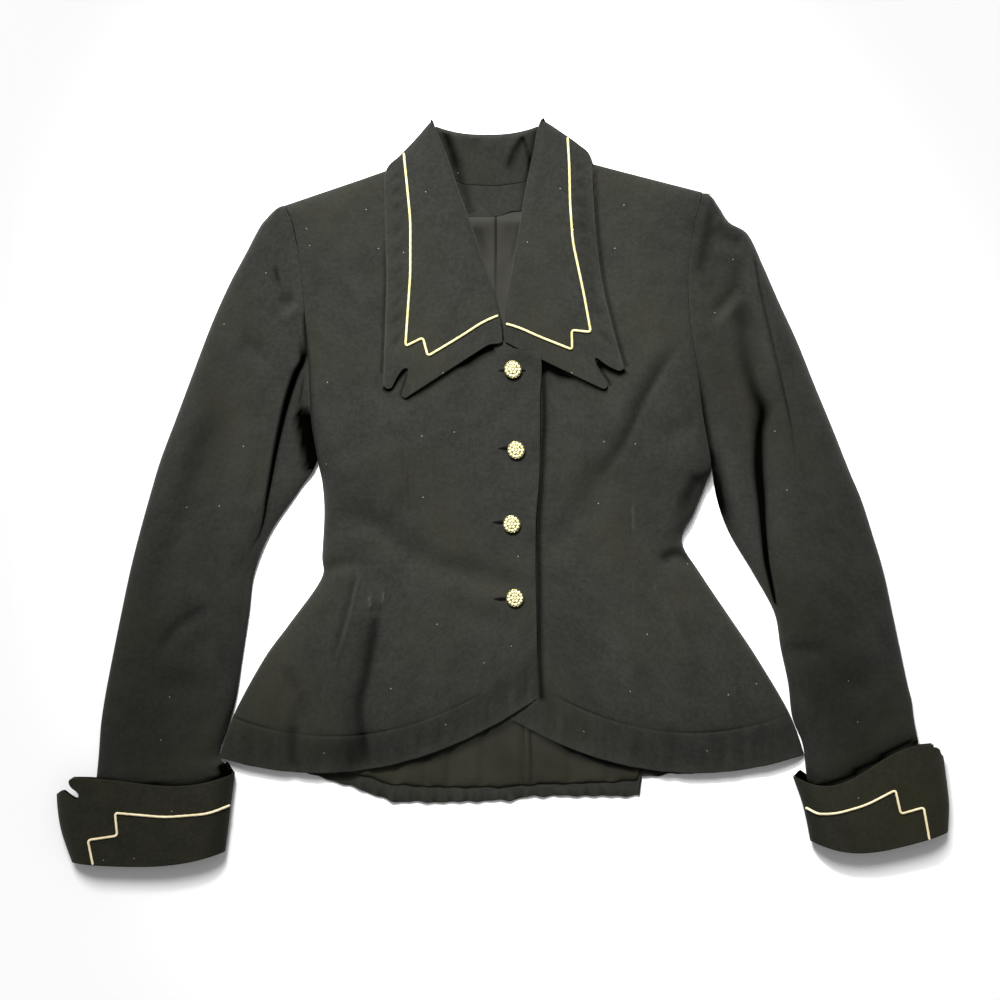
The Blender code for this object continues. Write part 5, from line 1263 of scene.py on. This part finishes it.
def make_wing(side, tree, finish):
    """Collar wing from its rolled edge at the neck to its outer edge, lying on the fronts."""
    seed = WING_SEED + side.seed
    rows = fine_rows(len(side.wing), WING_ROWS)
    roll_x, roll_y, edge_x, edge_y, roll_z, edge_z, lip_drop = along(side.wing, rows).T[:, :, None]
    section = rows[:, None]
    width = np.hypot(edge_x - roll_x, edge_y - roll_y)
    lip = np.minimum(WING_LIP_WIDTH, WING_LIP_SHARE * width)
    way = np.hstack([lip * ROLL_COLUMNS, spread(lip, width, WING_FALL_COLUMNS)])
    off = width - way
    u = way / width
    x = mix(roll_x, edge_x, u)
    low = smooth((section - WING_BOW_ROW) / WING_BOW_FADE)
    y = mix(roll_y, edge_y, u) + side.bow * smooth(u / WING_BOW_START) * (1.0 - u) * low
    z = mix(roll_z, edge_z, u ** WING_FALL_POWER) - lip_drop * (1.0 - quarter(way / lip))
    z = laid_on(tree, x, y, z, off)

    shown = smooth((section - WING_PUCKER_FIRST_ROW) / WING_PUCKER_FADE)
    shown = shown * smooth((WING_PUCKER_LAST_ROW - section) / WING_PUCKER_FADE)
    along_edge = np.cumsum(np.hypot(np.gradient(edge_x[:, 0]), np.gradient(edge_y[:, 0])))[:, None]
    slanted = along_edge + WING_PUCKER_SLANT * off
    drift = WING_PUCKER_DRIFT * np.sin(slanted / WING_PUCKER_DRIFT_LENGTH + seed)
    puckers = np.maximum(0.0, np.sin(slanted / WING_PUCKER_LENGTH + drift))
    puckers *= shown * bell((off - WING_PUCKER_OFF) / WING_PUCKER_WIDTH)
    z -= shown * WING_LINE_DEPTH * bell((off - WING_LINE_OFF) / WING_LINE_WIDTH)
    z -= WING_PUCKER_DEPTH * puckers
    middle = smooth(off / WING_UNEVEN_EDGE) * smooth(way / WING_UNEVEN_ROLL)
    z += middle * WING_UNEVEN * (1.0 + noise_at(x, y, WING_UNEVEN_SIZE, seed))
    # A paler rim along the outer edge, and painted shade in the puckers
    lightening = WING_EDGE_PALE * bell(off / WING_PALE_WIDTH)
    sheet = facing_up(np.stack([x, y, z, WING_PUCKER_DARK * puckers, lightening], axis=2))
    wing = cloth("collar_" + side.name, sheet, COLLAR_CLOTH, finish)
    cut_away(wing, *side.wing_notch)
    return wing


def make_collar_back(finish):
    """Stand and fall behind the neck, folded like a hairpin over the back's neck edge."""
    t = np.linspace(0.0, 1.0, COLLAR_BACK_COLUMNS)
    ends = np.abs(2.0 * t - 1.0)
    fold_x = mix(*COLLAR_FOLD_ENDS, t)
    fold_y = COLLAR_FOLD_Y + COLLAR_FOLD_RISE * ends ** COLLAR_FOLD_POWER
    seam_x = mix(*COLLAR_SEAM_ENDS, t)
    seam_y = np.interp(seam_x, BACK_TOP[:, 0], BACK_TOP[:, 1]) + COLLAR_SEAM_GAP
    fall_x = mix(*COLLAR_FALL_ENDS, t)
    fall_y = np.full_like(t, COLLAR_FALL_Y)
    rows = []
    for part, from_x, from_y, end_rise in (
        (COLLAR_FALL, fall_x, fall_y, 0.0),
        (COLLAR_FOLD, fall_x, fall_y, COLLAR_END_RISE),
        (COLLAR_STAND, seam_x, seam_y, 0.0),
    ):
        for share, setback, z in part:
            y = mix(from_y, fold_y, share) - setback
            rows.append(np.stack([mix(from_x, fold_x, share), y, z * (1.0 + end_rise * ends ** 2)], axis=1))
    rows = np.array(rows)
    rows[:, :, 2] *= 1.0 - COLLAR_END_DROP * ends ** COLLAR_DROP_POWER
    rows[:, :, 2] += STAND_RAISE * np.array(STAND_SHARES)[:, None] * (1.0 - ends ** STAND_RAISE_POWER)
    places = fine_rows(len(rows), COLLAR_BACK_ROWS)
    fine = along(rows.reshape(len(rows), -1), places).reshape(-1, len(t), 3)
    stand = smooth(places - STAND_FIRST_ROW)[:, None]
    x, y, z = np.moveaxis(fine, 2, 0)
    z -= stand * crease_depth(x, y, STAND_CREASES)
    np.maximum(z, 0.0, out=z)
    fine = np.dstack([fine, stand * crease_depth(x, y, STAND_SHADES)])
    if grid_normals(fine[:, :, :3])[-1, :, 2].mean() < 0:
        fine = fine[:, ::-1]
    return cloth("collar_back", fine, FALL_CLOTH, finish, 0.0)


def rounded_route(points):
    """Route with its corners turned on a short curve, and a point every step."""
    points = [np.array(point, dtype=float) for point in points]
    route = [points[0]]
    for before, corner, after in zip(points, points[1:], points[2:]):
        into = (before - corner) / np.linalg.norm(before - corner)
        out = (after - corner) / np.linalg.norm(after - corner)
        reach = PIPING_CORNER if np.dot(into, out) > PIPING_STRAIGHT else PIPING_EASE * PIPING_CORNER
        start = corner + into * reach
        end = corner + out * reach
        for t in np.linspace(0, 1, PIPING_CORNER_POINTS):
            route.append((1 - t) ** 2 * start + 2 * t * (1 - t) * corner + t ** 2 * end)
    route = np.array(route + [points[-1]])
    lengths = np.concatenate([[0.0], np.cumsum(np.linalg.norm(np.diff(route, axis=0), axis=1))])
    places = np.linspace(0.0, lengths[-1], round(lengths[-1] / PIPING_STEP) + 1)
    return np.stack([np.interp(places, lengths, route[:, k]) for k in (0, 1)], axis=1), places


def make_piping(node_name, outline, under, finish):
    """Twisted cord laid on a cloth piece along a route seen from above, with rounded ends."""
    radius = 0.5 * PIPING_DIAMETER
    tree = surface_of(under)
    route, places = rounded_route(outline)
    foot = (-PIPING_FOOT * radius, 0.0, PIPING_FOOT * radius)
    tops = []
    for x, y in route:
        around = [height_on(tree, x + dx, y + dy) for dx in foot for dy in foot]
        tops.append(max((height for height in around if height is not None), default=0.0))
    padded = np.pad(tops, PIPING_EVEN // 2, mode="edge")
    tops = np.convolve(padded, np.ones(PIPING_EVEN) / PIPING_EVEN, mode="valid")
    middle = np.column_stack([route, tops + PIPING_SEAT * radius])
    run = np.gradient(middle, axis=0)
    run /= np.linalg.norm(run, axis=1, keepdims=True)
    aside = np.cross(run, (0.0, 0.0, 1.0))
    aside /= np.linalg.norm(aside, axis=1, keepdims=True)
    upward = np.cross(aside, run)
    angle = 2.0 * math.pi * np.arange(PIPING_SIDES) / PIPING_SIDES
    twist = 1.0 + PIPING_RELIEF * np.cos(PIPING_PLIES * angle + PIPING_TWIST * places[:, None])
    from_end = np.minimum(places, places[-1] - places)
    size = radius * mix(PIPING_END, 1.0, quarter(from_end / radius))[:, None] * twist
    round_it = np.cos(angle)[:, None] * aside[:, None] + np.sin(angle)[:, None] * upward[:, None]
    rings = middle[:, None] + size[..., None] * round_it
    mesh = new_mesh(node_name + "_cord", rings.reshape(-1, 3), tube_faces(len(middle), PIPING_SIDES))
    mesh.shade_smooth()
    return link(node_name + "_cord", mesh, finish)


def turned(profile, sides, centre):
    """Points and faces of a closed turned shape; a first or last radius of 0 is one point."""
    points = []
    rings = []
    turn = 2.0 * math.pi / sides
    for r, z in profile:
        count = sides if r > 0.0 else 1
        rings.append(list(range(len(points), len(points) + count)))
        for i in range(count):
            points.append(centre + np.array((r * math.cos(i * turn), r * math.sin(i * turn), z)))
    faces = []
    for low, high in zip(rings, rings[1:]):
        for i in range(sides):
            k = (i + 1) % sides
            if len(low) == 1:
                faces.append((low[0], high[k], high[i]))
            elif len(high) == 1:
                faces.append((low[i], low[k], high[0]))
            else:
                faces.append((low[i], low[k], high[k], high[i]))
    return points, faces


def stone_shape(tilt_from, spin):
    """Cut stone on its own axis: girdle, crown and table, turned and tilted outwards on the dome."""
    points = []
    for level, (r, z) in enumerate(STONE_LEVELS):
        for i in range(STONE_SIDES):
            a = 2.0 * math.pi * (i + 0.5 * (level % 2)) / STONE_SIDES + spin
            points.append(Vector((r * math.cos(a), r * math.sin(a), z)) * STONE_RADIUS)
    faces = [tuple(reversed(range(STONE_SIDES)))]
    for level in range(len(STONE_LEVELS) - 1):
        low = level * STONE_SIDES
        high = low + STONE_SIDES
        for i in range(STONE_SIDES):
            k = (i + 1) % STONE_SIDES
            if level % 2:
                faces += [(low + i, high + k, high + i), (low + i, low + k, high + k)]
            else:
                faces += [(low + i, low + k, high + i), (low + k, high + k, high + i)]
    faces.append(tuple(range(len(points) - STONE_SIDES, len(points))))
    lean = Matrix.Identity(3)
    if tilt_from.length > 0.0:
        across = Vector((-tilt_from.y, tilt_from.x, 0.0)).normalized()
        lean = Matrix.Rotation(STONE_TILT * tilt_from.length, 3, across)
    return [lean @ point for point in points], faces


def make_button(node_name, place, tree, setting, stones):
    """Domed gilt button with a thin rim and rings of cut stones."""
    radius = 0.5 * BUTTON_DIAMETER
    x, y = place
    turns = np.linspace(0.0, 2.0 * math.pi, BUTTON_FEET)
    feet = [(radius * math.cos(a), radius * math.sin(a)) for a in turns] + [(0.0, 0.0)]
    base = max(height_on(tree, x + dx, y + dy) for dx, dy in feet) + SEAM_GAP
    centre = np.array((x, y, base))
    points, faces = turned([(r * radius, z) for r, z in SETTING_PROFILE], BUTTON_SIDES, centre)
    gilt_faces = len(faces)
    for r, count in STONE_RINGS:
        for i in range(count):
            a = 2.0 * math.pi * i / count
            offset = Vector((r * math.cos(a), r * math.sin(a), 0.0))
            stone_points, stone_faces = stone_shape(offset, STONE_SPIN * i + r)
            at = Vector(centre) + offset + Vector((0.0, 0.0, STONE_BASE_Z - STONE_DOME * (r / radius) ** 2))
            faces += [tuple(len(points) + k for k in face) for face in stone_faces]
            points += [tuple(point + at) for point in stone_points]
    mesh = new_mesh(node_name + "_jewel", points, faces)
    is_stone = np.arange(len(faces)) >= gilt_faces
    mesh.polygons.foreach_set("material_index", is_stone.astype(np.int32))
    mesh.polygons.foreach_set("use_smooth", ~is_stone)
    return link(node_name + "_jewel", mesh, setting, stones)


def stitch(start, end):
    """Points and faces of a short bar of thread with drawn-in ends."""
    start, end = np.array(start), np.array(end)
    run = (end - start) / np.linalg.norm(end - start)
    aside = np.cross(run, (0.0, 0.0, 1.0))
    upward = np.cross(aside, run)
    points = []
    for share, size in STITCH_SHAPE:
        for i in range(STITCH_SIDES):
            a = 2.0 * math.pi * i / STITCH_SIDES
            out = math.cos(a) * aside + math.sin(a) * upward
            points.append(mix(start, end, share) + STITCH_RADIUS * size * out)
    return points, tube_faces(len(STITCH_SHAPE), STITCH_SIDES)


def slit_faces():
    """Faces of a flat strip of two layers, its points in pairs along each layer."""
    count = 2 * SLIT_POINTS
    faces = []
    for i in range(0, count - 2, 2):
        faces.append((i, i + 1, i + 3, i + 2))
        faces.append((count + i, count + i + 2, count + i + 3, count + i + 1))
        faces.append((i, i + 2, count + i + 2, count + i))
        faces.append((i + 1, count + i + 1, count + i + 3, i + 3))
    faces.append((0, count, count + 1, 1))
    faces.append((count - 2, count - 1, 2 * count - 1, 2 * count - 2))
    return faces


def make_buttonhole(name, place, tree, thread, dark):
    """Worked slit: a dark strip painted as the shade of the opening, drawn to a point, with fine bars of
    thread along both lips.
    """
    left, right, y = place
    points = []
    faces = []

    def add(more_points, more_faces):
        faces.extend(tuple(len(points) + k for k in face) for face in more_faces)
        points.extend(more_points)

    def on_cloth(px, py, rise):
        return px, py, height_on(tree, px, py) + rise

    def half_width(px):
        return SLIT_HALF_WIDTH * min(1.0, SLIT_POINT + min(px - left, right - px) / SLIT_TAPER)

    both = (-1.0, 1.0)
    for px in np.arange(left, right, STITCH_STEP):
        for lip in both:
            near = y + lip * half_width(px)
            far = near + lip * (STITCH_LENGTH + STITCH_UNEVEN * math.sin(STITCH_RATE * px))
            add(*stitch(on_cloth(px, near, STITCH_RISE), on_cloth(px, far, 0.0)))
    thread_faces = len(faces)
    stops = np.linspace(left, right, SLIT_POINTS)
    slit = [on_cloth(px, y + lip * half_width(px), rise)
            for rise in SLIT_HEIGHTS for px in stops for lip in both]
    add(slit, slit_faces())
    mesh = new_mesh(name, points, faces)
    mesh.polygons.foreach_set("material_index", (np.arange(len(faces)) >= thread_faces).astype(np.int32))
    mesh.shade_smooth()
    return link(name, mesh, thread, dark)


def plug(tree, socket, value):
    """Gives a socket a constant value, or joins it to another socket."""
    if isinstance(value, bpy.types.NodeSocket):
        tree.links.new(value, socket)
    else:
        socket.default_value = value


def node(tree, kind, output, **values):
    """New node's output; values go to its settings or, with spaces for underscores, to its sockets."""
    made = tree.nodes.new("ShaderNode" + kind)
    for key, value in values.items():
        if hasattr(made, key):
            setattr(made, key, value)
        else:
            plug(tree, made.inputs[key.replace("_", " ")], value)
    return made.outputs[output]


def combine(tree, operation, first, second):
    """Sum, product or the like of two values."""
    made = tree.nodes.new("ShaderNodeMath")
    made.operation = operation
    plug(tree, made.inputs[0], first)
    plug(tree, made.inputs[1], second)
    return made.outputs[0]


def remap(tree, value, low, high, start=0.0, end=1.0):
    """Value stretched from start and end to low and high."""
    return node(tree, "MapRange", "Result", Value=value, From_Min=start, From_Max=end,
                To_Min=low, To_Max=high)


def ramp(tree, factor, places, colours):
    """Colour between some colours at their places on a ramp."""
    made = node(tree, "ValToRGB", "Color", Fac=factor)
    stops = made.node.color_ramp.elements
    stops[0].position, stops[1].position = places[0], places[-1]
    stops[0].color, stops[1].color = colours[0], colours[-1]
    for place, colour in zip(places[1:-1], colours[1:-1]):
        stops.new(place).color = colour
    return made


def blend(tree, factor, first, second):
    """Colour between two colours."""
    made = tree.nodes.new("ShaderNodeMix")
    made.data_type = "RGBA"
    for place, value in ((0, factor), (6, first), (7, second)):
        plug(tree, made.inputs[place], value)
    return made.outputs[2]


def speckle(tree, place, scale, detail, **values):
    """Soft noise texture."""
    return node(tree, "TexNoise", "Fac", Vector=place, Scale=scale, Detail=detail, **values)


def bump(tree, height, strength, distance):
    """Surface direction of a low relief."""
    return node(tree, "Bump", "Normal", Height=height, Strength=strength, Distance=distance)


def new_finish(name):
    """New material and its tree."""
    made = bpy.data.materials.new(name)
    made.use_nodes = True
    return made, made.node_tree


def settle(tree, **values):
    """Gives the shader of a finish its constants and textures."""
    for key, value in values.items():
        plug(tree, tree.nodes["Principled BSDF"].inputs[key.replace("_", " ")], value)


def wool_finish(name, colours):
    """Fine wool twill: slanted ribs, fuzzy fibre, slow colour drift and a few specks of pale lint."""
    made, tree = new_finish(name)
    weave = node(tree, "UVMap", "UV", uv_map="weave")
    twill = node(tree, "TexWave", "Fac", Vector=weave, Scale=520.0, Distortion=5.0, Detail=3.0,
                 Detail_Scale=1.5, bands_direction="DIAGONAL")
    fibre = speckle(tree, weave, 900.0, 3.0)
    mottle = speckle(tree, weave, 42.0, 5.0, Roughness=0.65)
    blotch = speckle(tree, weave, 240.0, 3.0, Roughness=0.6)
    grain = combine(tree, "ADD", combine(tree, "ADD", fibre, mottle), blotch)
    colour = ramp(tree, combine(tree, "DIVIDE", grain, 3.0), (0.41, 0.59), colours)
    warm = tuple(part * tint for part, tint in zip(colours[1], WARM_TINT)) + (1.0,)
    colour = blend(tree, remap(tree, speckle(tree, weave, 7.0, 2.0), 0.0, 0.7, 0.45, 0.75), colour, warm)
    distance = node(tree, "TexVoronoi", "Distance", Vector=weave, Scale=34.0, voronoi_dimensions="2D")
    chance = node(tree, "SeparateColor", "Red", Color=distance.node.outputs["Color"])
    chance = combine(tree, "GREATER_THAN", chance, 0.89)
    lint = combine(tree, "MULTIPLY", remap(tree, distance, 1.0, 0.0, 0.010, 0.024), chance)
    colour = blend(tree, lint, colour, LINT_WEAR_AND_HIGHLIGHT)
    # Painted shade: darker colour and less shine where a piece carries it
    shade = node(tree, "Attribute", "Fac", attribute_name="shade")
    colour = blend(tree, shade, colour, WOOL_IN_SHADE)
    # Paler marks: real wear and specks, and painted highlights on ridges
    colour = blend(tree, node(tree, "Attribute", "Fac", attribute_name="lightening"), colour, LINT_WEAR_AND_HIGHLIGHT)
    settle(tree, Base_Color=colour, Roughness=0.92, Specular_IOR_Level=remap(tree, shade, WOOL_SHINE, 0.0),
           Sheen_Weight=remap(tree, shade, WOOL_SHEEN, 0.0), Sheen_Roughness=0.45, Sheen_Tint=SHEEN_TINT,
           Normal=bump(tree, combine(tree, "ADD", twill, fibre), 0.5, 0.00025))
    return made


def lining_finish():
    """Satin with fine warp lines, olive brown towards the hem."""
    made, tree = new_finish("lining_satin")
    weave = node(tree, "UVMap", "UV", uv_map="weave")
    warp = node(tree, "TexWave", "Fac", Vector=weave, Scale=700.0, Distortion=2.0, Detail=2.0,
                bands_direction="X")
    drift = speckle(tree, weave, 22.0, 4.0)
    plain, olive = (ramp(tree, drift, (0.30, 0.70), colours) for colours in (SATIN, OLIVE_SATIN))
    height = node(tree, "SeparateXYZ", "Y", Vector=weave)
    colour = blend(tree, remap(tree, height, 1.0, 0.0, 0.0, 0.2), plain, olive)
    colour = blend(tree, node(tree, "Attribute", "Fac", attribute_name="shade"), colour, SATIN_IN_SHADE)
    settle(tree, Base_Color=colour, Roughness=remap(tree, drift, 0.60, 0.75), Specular_IOR_Level=0.12,
           Normal=bump(tree, warp, 0.25, 0.0001))
    return made


def cord_finish(name, colours):
    """Cream satin cord: fine slanted threads and a soft shine."""
    made, tree = new_finish(name)
    place = node(tree, "TexCoord", "Object")
    threads = node(tree, "TexWave", "Fac", Vector=place, Scale=900.0, Distortion=1.0,
                   bands_direction="DIAGONAL")
    drift = speckle(tree, place, 60.0, 4.0)
    settle(tree, Base_Color=ramp(tree, drift, (0.30, 0.65), colours),
           Roughness=remap(tree, drift, 0.34, 0.52), Specular_IOR_Level=0.5, Sheen_Weight=0.2,
           Normal=bump(tree, threads, 0.3, 0.0002))
    return made


def gilt_finish():
    """Worn gilt metal."""
    made, tree = new_finish("button_gilt")
    lightening = speckle(tree, node(tree, "TexCoord", "Object"), 420.0, 4.0)
    settle(tree, Base_Color=ramp(tree, lightening, (0.35, 0.65), GILT), Roughness=remap(tree, lightening, 0.22, 0.48),
           Metallic=1.0)
    return made


def stone_finish():
    """Foil-backed champagne stones, each a little different."""
    made, tree = new_finish("button_stones")
    island = node(tree, "NewGeometry", "Random Per Island")
    settle(tree, Base_Color=ramp(tree, island, (0.0, 0.5, 1.0), STONES), Metallic=0.2, Roughness=0.38,
           Coat_Weight=0.12, Coat_Roughness=0.05)
    return made


def matt_finish(name, colours, scale, places, shine):
    """Plain matt surface with a little drift in its colour."""
    made, tree = new_finish(name)
    drift = speckle(tree, node(tree, "TexCoord", "Object"), scale, 2.0)
    settle(tree, Base_Color=ramp(tree, drift, places, colours), Roughness=0.9, Specular_IOR_Level=shine)
    return made


def dress(piece, slot, *nodes):
    """Rides a piece on the jacket's one body in place of its solids."""
    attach(piece, "root")
    if nodes:
        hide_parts(*nodes)
    return piece


def lamp(name, kind, place, target, power, settings):
    """Lamp that looks from a place to a target."""
    light = bpy.data.lights.new(name, kind)
    light.energy = power
    for key, value in settings.items():
        setattr(light, key, value)
    made = link(name, light)
    made.location = place
    made.rotation_euler = (Vector(target) - Vector(place)).to_track_quat("-Z", "Y").to_euler()


def stage():
    """Pale floor, soft light from the collar's end, and the camera straight above."""
    corners = ((-1, -1), (1, -1), (1, 1), (-1, 1))
    mesh = bpy.data.meshes.new("floor")
    mesh.from_pydata([(FLOOR_HALF * x, FLOOR_HALF * y, FLOOR_Z) for x, y in corners], [], [(0, 1, 2, 3)])
    link("floor", mesh, matt_finish("floor_pale", FLOOR, 1.2, (0.2, 0.8), 0.1))

    world = bpy.data.worlds.new("soft_white")
    bpy.context.scene.world = world
    world.use_nodes = True
    sky = world.node_tree.nodes["Background"]
    sky.inputs["Color"].default_value = (1.0, 1.0, 1.0, 1.0)
    sky.inputs["Strength"].default_value = SKY_LIGHT
    for row in LAMPS:
        lamp(*row)

    camera = bpy.data.cameras.new("above")
    camera.sensor_width = SENSOR_WIDTH
    camera.lens = SENSOR_WIDTH * (CAMERA_HEIGHT - FOCUS_Z) / FRAME_WIDTH
    camera.clip_end = CAMERA_REACH
    made = link("above", camera)
    made.location = (*FRAME_MIDDLE, CAMERA_HEIGHT)
    bpy.context.scene.camera = made
    bpy.context.scene.view_settings.view_transform = "Standard"


def build():
    """Dresses every solid with its piece."""
    wool = wool_finish("wool_twill", WOOL)
    cuff_wool = wool_finish("wool_twill_cuff", CUFF_WOOL)
    lining = lining_finish()
    collar_cord = cord_finish("cord_cream", COLLAR_CORD)
    cuff_cord = cord_finish("cord_gold_cream", CUFF_CORD)
    gilt = gilt_finish()
    stones = stone_finish()
    thread = matt_finish("buttonhole_silk", SILK, 700.0, (0.35, 0.68), 0.05)
    slit = matt_finish("buttonhole_slit_shade", SLIT_SHADE, 700.0, (0.35, 0.68), 0.05)

    right_grid = front_grid(RIGHT)
    left_grid = front_grid(LEFT)
    right = dress(make_front(RIGHT, right_grid, wool), "wool", "front_right")
    lap = surface_of(right)
    tuck_under(left_grid, lap)
    left = dress(make_front(LEFT, left_grid, wool), "wool", "front_left")
    dress(make_back(wool), "wool", "back")
    dress(make_lining(lining), "lining", "back_lining")
    dress(make_facing(wool), "wool", "back_neck_facing")
    for side, grid in ((RIGHT, right_grid), (LEFT, left_grid)):
        upper, under = make_sleeve(side, grid, wool)
        dress(upper, "wool", "sleeve_" + side.name + "_upper")
        dress(under, "wool", "sleeve_" + side.name + "_under")
    right_cuff = dress(make_cuff(RIGHT, cuff_wool), "wool", "cuff_right")
    left_cuff = dress(make_cuff(LEFT, cuff_wool), "wool", "cuff_left")
    left_wing = make_wing(LEFT, surface_of(left), wool)
    right_wing = make_wing(RIGHT, surface_of(right, left_wing), wool)
    dress(right_wing, "wool", "collar_right")
    dress(left_wing, "wool", "collar_left")
    dress(make_collar_back(wool), "wool", "collar_back")
    for piping, route, under, cord in (
        ("collar_piping_right", RIGHT.wing_piping, right_wing, collar_cord),
        ("collar_piping_left", LEFT.wing_piping, left_wing, collar_cord),
        ("cuff_piping_right", RIGHT.cuff_piping, right_cuff, cuff_cord),
        ("cuff_piping_left", LEFT.cuff_piping, left_cuff, cuff_cord),
    ):
        dress(make_piping(piping, route, under, cord), "piping", piping)

    for number, (place, hole) in enumerate(zip(BUTTON_PLACES, BUTTONHOLES), start=1):
        button = "button_" + str(number)
        dress(make_button(button, place, lap, gilt, stones), "button", button)
        dress(make_buttonhole("buttonhole_" + str(number), hole, lap, thread, slit), "wool")


build()
stage()
